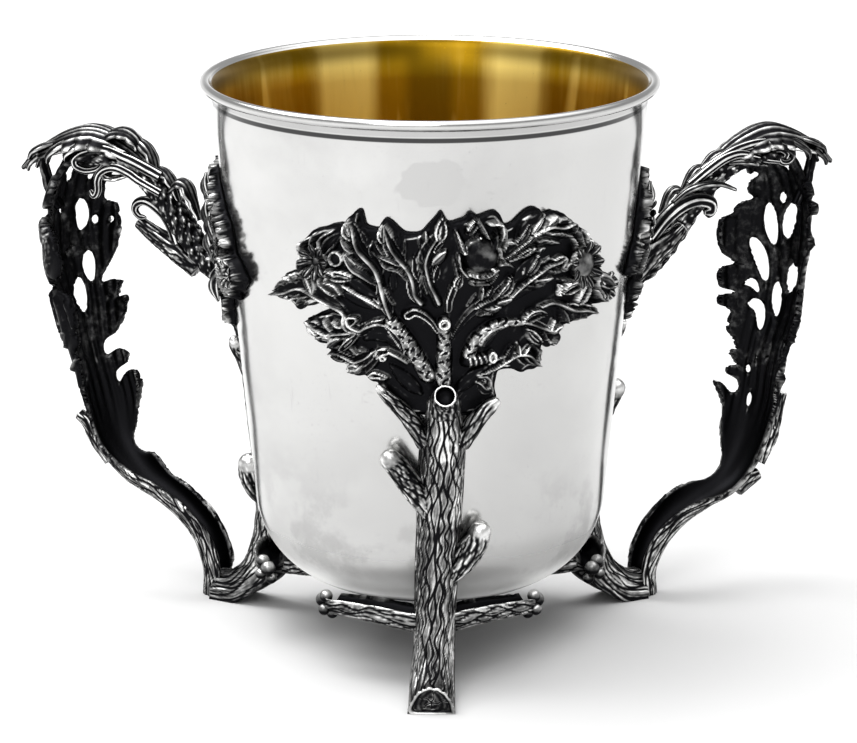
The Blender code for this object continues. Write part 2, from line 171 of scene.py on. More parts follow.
class Casting:
    """Closed bodies in millimetres with a polish for each point: 0 in a black groove, 1 on a rubbed edge. The
    polish also holds painted light and shade.
    """

    def __init__(self):
        self.points, self.faces, self.polish, self.count = [], [], [], 0

    def add(self, points, faces, polish):
        points = np.asarray(points, float).reshape(-1, 3)
        self.points.append(points)
        self.polish.append(np.broadcast_to(np.asarray(polish, float).reshape(-1), (len(points),)))
        for block in faces:
            self.faces.append(np.asarray(block) + self.count)
        self.count += len(points)

    def loops(self, rows, polish):
        """A body through rings of points: rows x columns x 3. Its ends are closed to their middle points."""
        rows = np.asarray(rows, float)
        height, width = rows.shape[:2]
        polish = np.broadcast_to(polish, (height, width))
        points = np.vstack([rows.reshape(-1, 3), rows[0].mean(0), rows[-1].mean(0)])
        shine = np.concatenate([polish.reshape(-1), [polish[0].mean(), polish[-1].mean()]])
        index = np.arange(height * width).reshape(height, width)
        right = np.roll(index, -1, axis=1)
        quads = np.stack([index[:-1], right[:-1], right[1:], index[1:]], axis=-1).reshape(-1, 4)
        low, high = height * width, height * width + 1
        ends = np.vstack([
            np.stack([right[0], index[0], np.full(width, low)], axis=-1),
            np.stack([index[-1], right[-1], np.full(width, high)], axis=-1),
        ])
        self.add(points, [quads, ends], shine)

    def mesh(self, name, turn):
        points = np.vstack(self.points) * MM
        angle = math.radians(turn)
        c, s = math.cos(angle), math.sin(angle)
        points = points @ np.array([[c, s, 0], [-s, c, 0], [0, 0, 1]])
        sizes = np.concatenate([np.full(len(block), block.shape[1]) for block in self.faces])
        corners = np.concatenate([block.reshape(-1) for block in self.faces])
        made = bpy.data.meshes.new(name)
        made.vertices.add(len(points))
        made.vertices.foreach_set("co", points.reshape(-1))
        made.loops.add(len(corners))
        made.loops.foreach_set("vertex_index", corners)
        made.polygons.add(len(sizes))
        made.polygons.foreach_set("loop_start", np.concatenate([[0], np.cumsum(sizes)[:-1]]))
        made.polygons.foreach_set("loop_total", sizes)
        made.update(calc_edges=True)
        shine = made.attributes.new("polish", "FLOAT", "POINT")
        shine.data.foreach_set("value", clamped(np.concatenate(self.polish)))
        return made


def face_outwards(made, merge=1e-6):
    """Merges doubled points, points every closed body's faces outwards and shades them smooth."""
    body = bmesh.new()
    body.from_mesh(made)
    bmesh.ops.remove_doubles(body, verts=body.verts, dist=merge)
    bmesh.ops.dissolve_degenerate(body, edges=body.edges, dist=1e-7)
    bmesh.ops.recalc_face_normals(body, faces=body.faces)
    for face in body.faces:
        face.smooth = True
    body.to_mesh(made)
    body.free()


def frames(path, hint):
    """Tangent, side and up vectors along a path, turning as little as they can. `hint` is the first up."""
    along = tangents(path)
    up = np.zeros_like(path)
    previous = np.asarray(hint, float)
    for k, direction in enumerate(along):
        previous = unit(previous - direction * previous.dot(direction))
        up[k] = previous
    return along, np.cross(along, up), up


def bark(across, along, seed, pitch=1.45, length=8.5, lines=0):
    """Depth and polish of bark: wavy grooves along the grain that meet and part, so the ridges are long lenses.
    With `lines` grooves the pattern closes round a full branch."""
    row = across / pitch
    nearest = np.full(np.shape(row), BIG)
    tone = np.zeros(np.shape(row))
    for step in range(-2, 4):
        i = np.floor(row) + step
        key = np.mod(i, lines) if lines else i
        pace = length * (0.65 + 1.0 * scatter(key, seed))
        bend = 1.6 * np.sin(along / 5.7 + 6.3 * scatter(key, seed + 5))
        wave = np.sin(2 * np.pi * along / pace + 6.3 * scatter(key, seed + 3) + bend)
        quick = np.sin(along / (1.9 + 1.6 * scatter(key, seed + 7)) + 6.3 * scatter(key, seed + 9))
        place = i + 0.38 * wave + 0.22 * quick + 0.45 * (scatter(key, seed + 11) - 0.5)
        away = np.abs(row - place) * pitch
        tone = np.where(away < nearest, scatter(key + np.floor(along / pace + 0.5), seed + 9), tone)
        nearest = np.minimum(nearest, away)
    wide = 0.20 + 0.12 * np.sin(along / 1.7 + 5 * tone) ** 2
    groove = peak(nearest, wide)
    edge = peak(nearest, 0.13, 0.40)
    fine = 0.5 + 0.5 * np.sin(across * 9.0 + 2.0 * np.sin(along / 1.9 + seed))
    inner = np.mod(np.floor(row), lines) if lines else np.floor(row)
    hair = (np.abs(row - np.floor(row) - 0.5 - 0.2 * np.sin(along / 1.6 + 6.3 * scatter(inner, seed + 13)))
            * pitch)
    hair = peak(hair, 0.13) * step_smooth(0.0, 0.5, np.sin(along / 2.4 + 6.3 * scatter(inner, seed + 17)))
    polish = (0.20 + 0.38 * tone + 0.10 * fine + 0.34 * edge) * (1 - groove) ** 1.4 * (1 - 0.85 * hair)
    return groove + 0.3 * hair + 0.25 * (1 - clamped(nearest / 0.7)), polish


def add_branch(casting, points, radii, seed, hint=(0, -1, 0), sides=40, step=0.32, pitch=1.25, depth=0.3,
               length=7.0, start=None, end="sawn", flat=1.0):
    """Round branch with bark. Its end is sawn, with a bright edge round a dark hollow, or rounded."""
    points = np.asarray(points, float)
    rough = smooth_path(np.column_stack([points, radii]), 64)
    total = steps_of(rough[:, :3]).sum()
    count = max(int(total / step), 6)
    path = spread(rough, count, 3)
    centre, radius = path[:, :3], path[:, 3:4]
    along, side, up = frames(centre, hint)
    angle = 2 * np.pi * np.arange(sides) / sides
    lines = max(int(round(2 * np.pi * float(np.mean(radii)) / pitch / 2)) * 2, 4)
    distance = np.linspace(0, total, count)[:, None]
    groove, polish = bark(angle[None, :] / (2 * np.pi) * lines * pitch,
                          distance + 0 * angle, seed, pitch, length, lines)
    if end == "round":
        tip = step_smooth(total - 2.2, total - 0.5, distance)
        groove, polish = groove * (1 - 0.7 * tip), np.maximum(polish, 0.6 * tip)
    size = radius - depth * groove * np.minimum(radius / 2.5, 1)
    around = (np.cos(angle)[None, :, None] * side[:, None, :]
              + np.sin(angle)[None, :, None] * flat * up[:, None, :])
    rows = list(centre[:, None, :] + size[..., None] * around)
    shines = list(polish)
    rows, shines = finish_end(rows, shines, centre[-1], along[-1], radius[-1, 0], end)
    if start:
        rows, shines = finish_end(rows[::-1], shines[::-1], centre[0], -along[0], radius[0, 0], start)
    casting.loops(np.array(rows), np.array(shines))


def finish_end(rows, shines, centre, direction, radius, kind):
    """More rings at the end of a branch: (share of the ring, push along, polish)."""
    last = rows[-1]
    spokes = np.linalg.norm(last - centre, axis=1, keepdims=True)
    last = centre + (last - centre) * (0.25 + 0.75 * spokes.mean() / spokes)
    if kind == "sawn":
        rings = ((1.0, 0.25, 0.9), (0.86, 0.38, 1.0), (0.74, 0.25, 0.8),
                 (0.66, -0.3, 0.1), (0.5, -0.7, 0.0), (0.2, -0.8, 0.02))
    elif kind == "ring":
        rings = ((1.02, 0.2, 0.6), (0.95, 0.4, 0.9), (0.87, 0.35, 0.7),
                 (0.83, -0.2, 0.1), (0.79, -1.4, 0.0), (0.3, -2.0, 0.0))
    else:
        rings = tuple((math.cos(a), radius * 0.9 * math.sin(a), 0.55 + 0.35 * math.sin(a))
                      for a in (0.4, 0.8, 1.15, 1.4))
    for share, push, shine in rings:
        rows.append(centre + (last - centre) * share + direction * push)
        shines.append(np.full(len(last), shine))
    return rows, shines


# ---------------------------------------------------------------- the trunk

# Stations down the trunk, where its back lies on the wall: height, depth, half the width, and how far the
# middle is to the side.
WALL_STATIONS = (
    (75.5, 1.2, 1.6, 3.3), (72.5, 5, 3.9, 3.2), (68, 6, 4.3, 3.1), (61, 6.4, 5.4, 2.9), (50, 6.6, 5.5, 2.4),
    (42, 6.6, 5.3, 2.1),
)
# Stations down the leg: the back of the section (reach, height), its ridge (reach, height), half the width,
# how far the middle is to the side, and how deep the back is hollowed.
LEG_STATIONS = (
    (42.6, 34, 49.3, 34, 5.2, 1.7, 0.4), (42, 26, 49.2, 26.5, 5.1, 1.4, 4), (41.8, 18, 50.2, 19, 5, 1.2, 5.6),
    (42.2, 11, 52.2, 13.2, 5, 1, 5.6), (45, 6.2, 54.2, 9.8, 5.2, 0.7, 3), (50, 2.4, 56.8, 7.7, 5.4, 0.5, 0.8),
    (54.5, 0, 58.5, 7, 5.5, 0.4, 0), (61, 0, 61, 6.7, 5.6, 0.3, 0),
)
SHELL = 1.6
FRONT_COLUMNS = 78
BACK_COLUMNS = 14
BARK_DEPTH = 0.38


def add_trunk(casting, step=0.48):
    """Leg and trunk: a half round log with bark, hollow behind where it stands clear of the cup."""
    stations = [(wall_radius(h) + GAP + d, h, wall_radius(h) + GAP, h, half, side, 0.4)
                for h, d, half, side in WALL_STATIONS]
    stations += [(rr, rh, br, bh, half, side, hollow) for br, bh, rr, rh, half, side, hollow in LEG_STATIONS]
    rough = smooth_path(stations, 200, lead=2)
    total = steps_of(rough[:, :2]).sum()
    line = spread(rough, int(total / step), 2)
    front = np.linspace(0, np.pi, FRONT_COLUMNS)
    behind = np.linspace(0, np.pi, BACK_COLUMNS + 2)[1:-1]
    distance = np.linspace(0, total, len(line))
    rows, shines = [], []
    for (rr, rh, br, bh, half, side, hollow), along in zip(line, distance):
        deep = math.hypot(rr - br, rh - bh)
        out = ((rr - br) / deep, (rh - bh) / deep)
        x, y = half * np.cos(front), deep * np.sin(front)
        arc = np.concatenate([[0], np.cumsum(np.hypot(np.diff(x), np.diff(y)))])
        # The grain leans out towards the two knots, and opens at the foot.
        grain = arc - arc[-1] / 2 + 1.2 * math.sin(along / 17.0)
        groove, polish = bark(grain, np.full(len(front), along), TRUNK_SEED, 1.3, 8.6)
        edge = clamped(np.sin(front) * 6)
        normal = unit(np.stack([np.cos(front) / half, np.sin(front) / deep], axis=-1))
        sink = BARK_DEPTH * groove * edge
        x, y = x - normal[:, 0] * sink, y - normal[:, 1] * sink
        inner = half - SHELL
        x = np.concatenate([x, -inner * np.cos(behind)])
        y = np.concatenate([y, np.full(len(behind), 0.0) + hollow * np.sin(behind)])
        rows.append(local(side + x, br + out[0] * y, np.maximum(bh + out[1] * y, 0)))
        shines.append(np.concatenate([polish * (0.4 + 0.6 * edge), np.full(len(behind), 0.03)]))
    rows, shines = foot_face(rows, shines)
    casting.loops(np.array(rows), np.array(shines))


def foot_face(rows, shines):
    """The sawn end of the log: a bright chipped edge round a dark face with cracks."""
    last = rows[-1].copy()
    for _ in range(8):
        last[1:-1] = 0.25 * last[:-2] + 0.5 * last[1:-1] + 0.25 * last[2:]
    middle = np.array([last[:, 0].mean(), last[0, 1], 2.6])
    chips = 0.45 + 0.55 * scatter(np.floor(np.arange(len(last)) / 7.0), 2)
    for share, push, low, high in ((0.99, 0.25, 0.3, 0.8), (0.90, 0.30, 0.25, 0.75),
                                   (0.84, 0.0, 0.1, 0.4), (0.80, -0.6, 0.0, 0.05)):
        ring = middle + (last - middle) * share
        ring[:, 1] -= push
        ring[:, 2] = np.maximum(ring[:, 2], 0)
        rows.append(ring)
        shines.append(low + (high - low) * chips)
    for share in np.linspace(0.77, 0.08, 11):
        ring = middle + (last - middle) * share
        ring[:, 2] = np.maximum(ring[:, 2], 0)
        x, z = ring[:, 0] - middle[0], ring[:, 2] - middle[2]
        angle, away = np.arctan2(z, x), np.hypot(x, z)
        crack = np.abs(np.sin(2.5 * angle + 0.5 * np.sin(away * 1.7))) * away
        growth = np.abs(np.sin(away * 2.6 + 0.6 * np.sin(3 * angle)))
        line = peak(crack, 0.3)
        ring[:, 1] += 0.6 + 0.25 * line - 0.1 * growth
        rows.append(ring)
        shines.append(0.10 + 0.16 * growth + 0.3 * peak(crack, 0.15, 0.45) - 0.2 * line)
    return rows, shines


STRUT_LINE = ((45.5, 11.8, 3.0), (40.0, 11.9, 3.2), (34.0, 12.2, 3.1), (28.5, 12.6, 2.7), (26.5, 12.7, 1.4))
ARM_ROOT = (4.0, 40.6, 17.6, 4.7)
ARM_END = (36.0, 39.4, 18.5, 3.4)
ARM_WALL = 1.3
# Round buds at the end of each side branch: degrees round the cup, reach, height, radius.
BUDS = ((37.0, 41.2, 19.8, 1.6), (37.2, 41.8, 16.6, 1.4), (39.4, 40.2, 18.4, 1.8), (36.6, 39.2, 15.2, 1.4))


def round_axis(reach, degrees, height):
    turn = np.radians(degrees)
    return np.stack(np.broadcast_arrays(reach * np.sin(turn), -reach * np.cos(turn), height), axis=-1)


def add_arm(casting, hand, rows=64):
    """Hollow side branch that curls round under the cup's corner, open towards the cup."""
    outside = np.radians(np.linspace(20, -195, 44))
    inside = np.radians(np.linspace(-178, 5, 12))
    shares = np.linspace(0, 1, rows)
    total = np.radians(ARM_END[0] - ARM_ROOT[0]) * ARM_ROOT[1]
    body, shines = [], []
    for share in shares:
        degrees, reach, height, radius = (a + (b - a) * share for a, b in zip(ARM_ROOT, ARM_END))
        height = height + 0.9 * math.sin(math.pi * share)
        groove, polish = bark(outside * radius, np.full(len(outside), share * total), ARM_SEED + hand, 1.3, 7.0)
        size = radius - 0.35 * groove
        across = np.concatenate([reach + size * np.cos(outside), reach + (radius - ARM_WALL) * np.cos(inside)])
        up = np.concatenate([height + size * np.sin(outside), height + (radius - ARM_WALL) * np.sin(inside)])
        body.append(round_axis(across, hand * degrees, up))
        lip = peak(np.arange(len(outside)), 1.5) * 0.5
        shines.append(np.concatenate([0.8 * polish + lip, np.full(len(inside), 0.03)]))
    casting.loops(body, np.array(shines))


def add_strut(casting):
    line = np.array(STRUT_LINE)
    add_branch(casting, local(0.6, line[:, 0], line[:, 1]), line[:, 2], STRUT_SEED, hint=(0, 0, 1), end="round")


# Stubs on the trunk: points (across, height, rise), radii, and how they end.
KNOTS = (
    (((3.6, 27, 3), (7, 32, 3.6), (9.6, 36.4, 3.6), (11, 39.8, 3.4)), (1.6, 2.8, 3.1, 2.6), "round"),
    (((5.4, 33, 2.6), (9.4, 38, 3.2), (11.4, 40.6, 3)), (2, 2.2, 1.8), "round"),
    (((1, 43, 2.6), (-3, 50, 3), (-6.6, 55.4, 3.2), (-8.7, 58.2, 3.6)), (2.2, 3, 2.8, 2.5), "round"),
    (((3, 70, 3.4), (3, 73.4, 5), (3, 74.9, 7.2)), (3.5, 3.2, 2.75), "ring"),
    (((-1, 62, 2.4), (-5, 68.6, 2.6), (-9.2, 73.2, 2.8), (-11.2, 75.4, 2.8)), (2.2, 2, 1.5, 0.9), "round"),
    (((6.8, 61.5, 2.4), (10.2, 67.2, 2.6), (13, 70.4, 2.8), (14.4, 71.6, 2.8)), (2.2, 2.2, 1.9, 1.3), "round"),
)


def add_knots(casting):
    for number, (points, radii, end) in enumerate(KNOTS):
        path = np.array([on_wall(*map(float, point)) for point in points])
        add_branch(casting, path, radii, KNOT_SEED + number, end=end, pitch=1.1)


# ---------------------------------------------------------------- relief

class Relief:
    """A carved sheet on a flat map: each point's rise, its polish, and how far inside the outline it is."""

    def __init__(self, low, high, step):
        self.step = step
        self.x = np.arange(low[0], high[0] + step, step)
        self.z = np.arange(low[1], high[1] + step, step)
        self.rise = np.zeros((len(self.z), len(self.x)))
        self.polish = np.zeros_like(self.rise)
        self.inside = np.full_like(self.rise, -5.0)
        self.soft = 0.0

    def window(self, points, margin):
        low, high = points.min(0) - margin, points.max(0) + margin
        a = np.clip(np.searchsorted(self.z, [low[1], high[1]]), 0, len(self.z))
        b = np.clip(np.searchsorted(self.x, [low[0], high[0]]), 0, len(self.x))
        return (slice(a[0], a[1]), slice(b[0], b[1]))

    def lay(self, where, rise, polish, inside):
        """Puts a form on the sheet; the higher form is the one that shows."""
        top = (inside > 0) & (rise > self.rise[where])
        self.rise[where] = np.where(top, rise, self.rise[where])
        self.polish[where] = np.where(top, polish, self.polish[where])
        self.inside[where] = np.maximum(self.inside[where], inside)

    def polygon(self, points, rise, polish):
        points = np.asarray(points, float)
        where = self.window(points, 1.5)
        inside = polygon_depth(points, self.x[where[1]][None, :], self.z[where[0]][:, None])
        self.lay(where, rise + 0 * inside, polish + 0 * inside, inside)

    def measure(self, half, points, leafy, margin=0.8):
        """Seen from a form's middle line: window, nearest point, distance, width there, side and length."""
        points = np.asarray(points, float)
        length = steps_of(points).sum()
        count = max(int(length / 0.12), 8)
        path = smooth_path(points, count) if len(points) > 2 else spread(points, count, 2)
        first, last = half if isinstance(half, tuple) else (half, half)
        t = np.linspace(0, 1, count)
        if leafy:
            width = first * np.maximum(np.sin(np.pi * np.clip(t, 0.02, 0.985) ** 0.8), 0) ** 0.65
        else:
            width = first + (last - first) * t
        where = self.window(path, max(first, last) + margin)
        x, z = self.x[where[1]][None, :, None], self.z[where[0]][:, None, None]
        gap = (x - path[:, 0]) ** 2 + (z - path[:, 1]) ** 2
        near = gap.argmin(-1)
        away = np.sqrt(np.take_along_axis(gap, near[..., None], -1)[..., 0])
        along = tangents(path)[near]
        side = np.sign((z[..., 0] - path[near, 1]) * along[..., 0]
                       - (x[..., 0] - path[near, 0]) * along[..., 1])
        return where, near / (count - 1), away, width[near], side, length

    def stroke(self, kind, half, rise, shine, points):
        """One carved line, leaf or lobe along its middle line."""
        where, t, away, wide, side, length = self.measure(half, points, kind in LEAFY, 1.3)
        form, light = SECTIONS[kind](away / np.maximum(wide, 1e-3), side, t, t * length, wide)
        low = min(0.55 * rise, 1.6)
        if kind in SHOULDERED and self.soft:
            # A dull grey shoulder carries the line down to the ground; it never widens the sheet. Its grey,
            # fading away from the line and brighter on one side, is painted shading.
            share = clamped(1 - (away - wide) / 0.85)
            self.lay(where, low * (0.55 + 0.45 * share), self.soft * share * (0.7 + 0.3 * side),
                     np.minimum(self.inside[where], share - 0.01))
        inside = wide - away
        if kind == "blade":
            inside = np.minimum(inside, self.inside[where])
        self.lay(where, low + (rise - low) * form, shine * light, inside)

    def slot(self, half, points):
        """Leaf-shaped opening along its middle line."""
        where, _, away, wide, _, _ = self.measure(half, points, True)
        self.inside[where] = np.minimum(self.inside[where], away - wide)

    def shares(self, where, middle, size):
        """Places in a window as shares of an oval's half sizes."""
        x, z = self.x[where[1]][None, :], self.z[where[0]][:, None]
        return (x - middle[0, 0]) / size[0], (z - middle[0, 1]) / size[1]

    def dome(self, middle, size, rise, shine, rim=0.0, flat=0.5):
        """Oval boss; `rim` brightens its edge, and `flat` is the power of its curve."""
        middle = np.array([middle], float)
        where = self.window(middle, max(size) + 0.6)
        x, z = self.shares(where, middle, size)
        away = np.hypot(x, z)
        form = clamped(1 - away ** 2) ** flat
        light = shine + rim * peak(away, 0.1, 0.9)
        if min(size) > 2:
            turn = np.arctan2(z, x)
            light = light + 0.22 * clamped(np.sin(x * 3.1 + 1.2 * np.sin(z * 4)) * np.sin(z * 2.7 + 1))
            light = light + 0.5 * step_smooth(0.8, 0.97, away) * (np.sin(3 * turn + 1) > -0.2)
        self.lay(where, rise * (0.35 + 0.65 * form), light, (1 - away) * min(size))

    def ring(self, middle, size, half, rise, shine):
        """Round sawn end: a bright ring about a dark hollow."""
        middle = np.array([middle], float)
        where = self.window(middle, max(size) + half + 0.6)
        x, z = self.shares(where, middle, size)
        away = (np.hypot(x, z) - 1) * min(size)
        form = arch(away / half)
        inside = half - np.maximum(away, 0)
        level = np.where(away < -half, 0.45, 0.55 + 0.45 * form) * rise
        self.lay(where, level, np.where(away < -half, 0.02, shine * form), inside)


def polygon_depth(points, x, z):
    """Distance to a polygon's edge, positive inside."""
    x, z = np.broadcast_arrays(x, z)
    nearest = np.full(x.shape, BIG)
    crossings = np.zeros(x.shape, bool)
    for (ax, az), (bx, bz) in zip(points, np.roll(points, -1, axis=0)):
        dx, dz = bx - ax, bz - az
        t = clamped(((x - ax) * dx + (z - az) * dz) / max(dx * dx + dz * dz, 1e-9))
        nearest = np.minimum(nearest, (x - ax - t * dx) ** 2 + (z - az - t * dz) ** 2)
        if abs(dz) > 1e-9:
            crossings ^= ((az > z) != (bz > z)) & (x < ax + (z - az) * dx / dz)
    return np.where(crossings, 1, -1) * np.sqrt(nearest)


def rib_section(q, side, t, along, wide):
    form = arch(q)
    # Painted light: one side of the rib is painted brighter than the other.
    return (form, step_smooth(0.0, 0.9, form) * (0.72 + 0.28 * side * q)
            * (0.85 + 0.15 * np.sin(along * 1.1 + 2 * wide)))


def fill_section(q, side, t, along, wide):
    """Plump leaflet, painted brighter along one rim as painted light, with a fine crease beside its middle."""
    form = 0.35 + 0.65 * arch(0.92 * q) - 0.18 * peak(q * side, 0.16, 0.1) * (wide > 0.45)
    light = 0.5 + 0.5 * np.clip(q * side, -1, 1) - 0.42 * peak(q * side, 0.15, 0.1) * (wide > 0.45)
    light = light * (0.65 + 0.35 * t) + 0.35 * peak(q, 0.12, 0.85)
    return form, light * step_smooth(1.05, 0.85, q)


def hollow_section(q, side, t, along, wide):
    """Leaf with raised bright rims, a dark middle and a thin rib."""
    rim = peak(q, 0.2, 0.76)
    rib = 0.75 * peak(q * wide, 0.16) * (wide > 0.8) * step_smooth(1.0, 0.75, t)
    veins = 0.3 * (wide > 0.9) * peak(np.sin(along * 3.4 - 2.6 * q * wide), 0.4) * step_smooth(0.1, 0.4, q)
    # Painted light: one rim is painted brighter than the other.
    return (clamped(0.35 + 0.65 * rim + 0.3 * rib + 0.3 * veins),
            np.clip(rim * (0.8 + 0.2 * side) + rib + veins, 0.06, 1))


def band_section(q, side, t, along, wide):
    """Strap with two bright edges."""
    rim = peak(q, 0.2, 0.72)
    # Painted light: one edge is painted brighter than the other.
    return 0.7 + 0.3 * rim - 0.25 * peak(q, 0.3), clamped(0.15 + 0.85 * rim * (0.8 + 0.2 * side))


def net_section(q, side, t, along, wide):
    """Rough young bark: grey, with short dark pits across it and a bright outer edge."""
    across = q * side * wide
    cells = (np.sin(along * 2.9 + 1.1 * np.sin(across * 2.6 + 0.7 * along))
             * np.cos(across * 2.0 + 1.4 * np.sin(along * 0.9)))
    pit = step_smooth(0.15, 0.6, cells)
    form = arch(q)
    edge = peak(cells, 0.12, 0.1)
    # Painted light: one side is painted brighter than the other.
    return (clamped(form - 0.14 * pit),
            clamped((0.42 + 0.15 * side * q + 0.4 * edge) * (1 - pit) + 0.05) * step_smooth(0.05, 0.5, form))


def ladder_section(q, side, t, along, wide):
    """Short stub with close rings round it."""
    rung = peak(np.mod(along + 0.25 * q ** 2, 1.15), 0.2, 0.55)
    form = arch(q)
    # Painted light: one side of the rings is painted brighter than the other.
    return clamped(form + 0.12 * rung), clamped(0.08 + 0.85 * rung * (0.75 + 0.25 * side * q))


def black_section(q, side, t, along, wide):
    """Dark leaf with a low rib and a dull rim."""
    form = arch(0.9 * q)
    dull = 0.22 * peak(q, 0.12, 0.85) + 0.16 * peak(q * wide, 0.3)
    return form, 0.08 + dull + 0.06 * np.sin(along * 2.2 + 3 * q)


def blade_section(q, side, t, along, wide):
    """Broad leaf behind a stem: dark, with dull slanting veins and a thin bright rim."""
    veins = peak(np.sin(along * 2.1 - 1.9 * q * wide + 0.6 * side), 0.35) * step_smooth(0.15, 0.5, q)
    rim = peak(q, 0.09, 0.9)
    # Painted light: one side and one rim are painted brighter than the other.
    return (0.45 + 0.4 * q ** 2 + 0.15 * rim,
            clamped(0.10 + 0.34 * veins + 0.12 * side * q + 0.95 * rim * (0.75 + 0.25 * side)))


SECTIONS = {
    "blade": blade_section, "rib": rib_section, "fill": fill_section, "hollow": hollow_section,
    "band": band_section, "net": net_section, "ladder": ladder_section, "black": black_section,
}
LEAFY = ("fill", "hollow", "black", "blade")
SHOULDERED = ("rib", "fill", "band")


def kept_cells(inside, limit):
    """Cells of the sheet, with corners that only touch at a point removed."""
    good = inside > limit
    cells = good[:-1, :-1] & good[1:, :-1] & good[:-1, 1:] & good[1:, 1:]
    for _ in range(8):
        a, b, c, d = cells[:-1, :-1], cells[:-1, 1:], cells[1:, :-1], cells[1:, 1:]
        slant = (a & d & ~b & ~c) | (b & c & ~a & ~d)
        if not slant.any():
            break
        rows, columns = np.nonzero(slant)
        for row, column in zip(rows, columns):
            cells[row:row + 2, column:column + 2] = False
    return cells


def rounded(depth, size):
    """How far a sheet's face falls back within `size` of its edge."""
    return size * (1 - arch(1 - clamped(depth / size)))


def add_relief(casting, relief, front, back, back_shine):
    """Closed thick sheet from a relief: front(x, z, rise, depth) and back(x, z, depth) place its two sides."""
    cells = kept_cells(relief.inside, -0.7 * relief.step)
    x, z = np.meshgrid(relief.x, relief.z)
    used = np.zeros(x.shape, int)
    for down in (0, 1):
        for right in (0, 1):
            used[down:down + cells.shape[0], right:right + cells.shape[1]] += cells
    edge = (used > 0) & (used < 4)
    slope_z, slope_x = np.gradient(relief.inside, relief.step)
    steep = np.maximum(slope_x ** 2 + slope_z ** 2, 0.2)
    shift = np.clip(-relief.inside / steep, -1.2 * relief.step, 1.2 * relief.step)
    shift_x = np.clip(shift * slope_x, -0.6 * relief.step, 0.6 * relief.step)
    shift_z = np.clip(shift * slope_z, -0.6 * relief.step, 0.6 * relief.step)
    x, z = np.where(edge, x + shift_x, x), np.where(edge, z + shift_z, z)
    number = np.full(x.shape, -1)
    picked = used > 0
    total = int(picked.sum())
    number[picked] = np.arange(total)
    a, b = number[:-1, :-1][cells], number[:-1, 1:][cells]
    c, d = number[1:, 1:][cells], number[1:, :-1][cells]
    outline = []
    wide = np.pad(cells, 1)
    for (down, right), first, second in (((-1, 0), a, b), ((1, 0), c, d), ((0, -1), d, a), ((0, 1), b, c)):
        outside = ~wide[1 + down:1 + down + cells.shape[0], 1 + right:1 + right + cells.shape[1]][cells]
        outline.append(np.stack([second[outside], first[outside]], axis=-1))
    outline = np.vstack(outline)
    flat = np.stack([x[picked], z[picked]], axis=-1)
    both = np.vstack([outline, outline[:, ::-1]])
    count = np.zeros(total)
    np.add.at(count, both[:, 0], 1)
    on_edge = count > 0
    for _ in range(4 if relief.step < FINE_STEP else 10):
        near = np.zeros_like(flat)
        np.add.at(near, both[:, 0], flat[both[:, 1]])
        flat[on_edge] = 0.45 * flat[on_edge] + 0.55 * near[on_edge] / count[on_edge, None]
    rise, depth = np.maximum(relief.rise, 0.4)[picked], np.maximum(relief.inside, 0)[picked]
    top = front(flat[:, 0], flat[:, 1], rise, depth)
    under = back(flat[:, 0], flat[:, 1], depth)
    upper = np.stack([a, b, c, d], axis=-1)
    lower = np.stack([d, c, b, a], axis=-1) + total
    walls = np.column_stack([outline, outline[:, ::-1] + total])
    # Painted shade: the points on the outline are painted darker, so the sheet's side walls look shaded.
    shine = relief.polish[picked] * np.where(edge[picked], 0.7, 1.0)
    casting.add(np.vstack([top, under]), [upper, lower, walls],
                np.concatenate([shine, back_shine(z[picked], depth)]))


# ---------------------------------------------------------------- the crown

# Outline of the crown's black backing, (across, height).
CROWN_EDGE = (
    -3, 69, -6.5, 70.5, -9.5, 73, -10.5, 76, -13.5, 77, -13.8, 78.3, -18.4, 78.6, -19, 79.8, -21, 81,
    -23.3, 82.1, -23.2, 84.4, -27, 85.4, -28.3, 88, -29.1, 89.2, -28, 90.6, -26, 91.4, -23, 92.2, -20.4, 92.7,
    -22, 93.9, -25, 95.1, -27, 95.2, -28, 93.9, -31.4, 93.4, -32.3, 92.3, -34.3, 93.5, -36.5, 94.1, -39.3, 94.5,
    -38, 96.7, -36, 98.7, -34.5, 100, -32.5, 101.3, -31.3, 101, -31.3, 103, -31, 105, -31.3, 107.5,
    -29.8, 109.3, -27.5, 111, -25, 112.5, -22, 113, -20.6, 113.7, -19.5, 113.4, -19.5, 114.5, -18.6, 115.5,
    -17.5, 115.6, -16.6, 117.3, -16, 116, -15.2, 113.4, -12, 113, -11.4, 113, -11, 114.8, -10, 115.3, -9, 114.7,
    -7.5, 113.2, -5.8, 112, -3.5, 112.1, -1.7, 113, 0.5, 114.6, 2.5, 117.3, 3.6, 115.6, 4.5, 115, 7, 115.2,
    8.8, 116, 9.4, 117.3, 10.3, 116.2, 12, 116.7, 14.5, 117, 15.7, 115.8, 16.8, 113.4, 18.5, 113.6, 20, 114.9,
    21.5, 115.7, 23, 116.5, 25, 116.9, 26.7, 116, 27.2, 115.6, 29.5, 115.4, 33.5, 113.4, 34.8, 112.5,
    36.8, 110.6, 38.5, 109, 39.8, 108, 41.5, 106, 42.3, 104.5, 42.8, 102.5, 42, 100.3, 43.5, 98.9, 45.5, 97.4,
    48.4, 95.2, 46.5, 93.5, 44, 91.6, 42, 91.3, 41.5, 90.5, 42.3, 89.2, 41, 89, 38, 88.8, 35.5, 88.7, 33, 88.6,
    31.8, 88.9, 31.3, 87.5, 30.5, 86.5, 30, 84.5, 28.8, 83.2, 28, 84.8, 26.5, 84.8, 25.8, 82, 25.8, 78.7,
    23, 79, 21.5, 78.2, 19, 79.1, 15.5, 79.5, 14.5, 77, 14.8, 74, 14.8, 71, 9, 69,
)

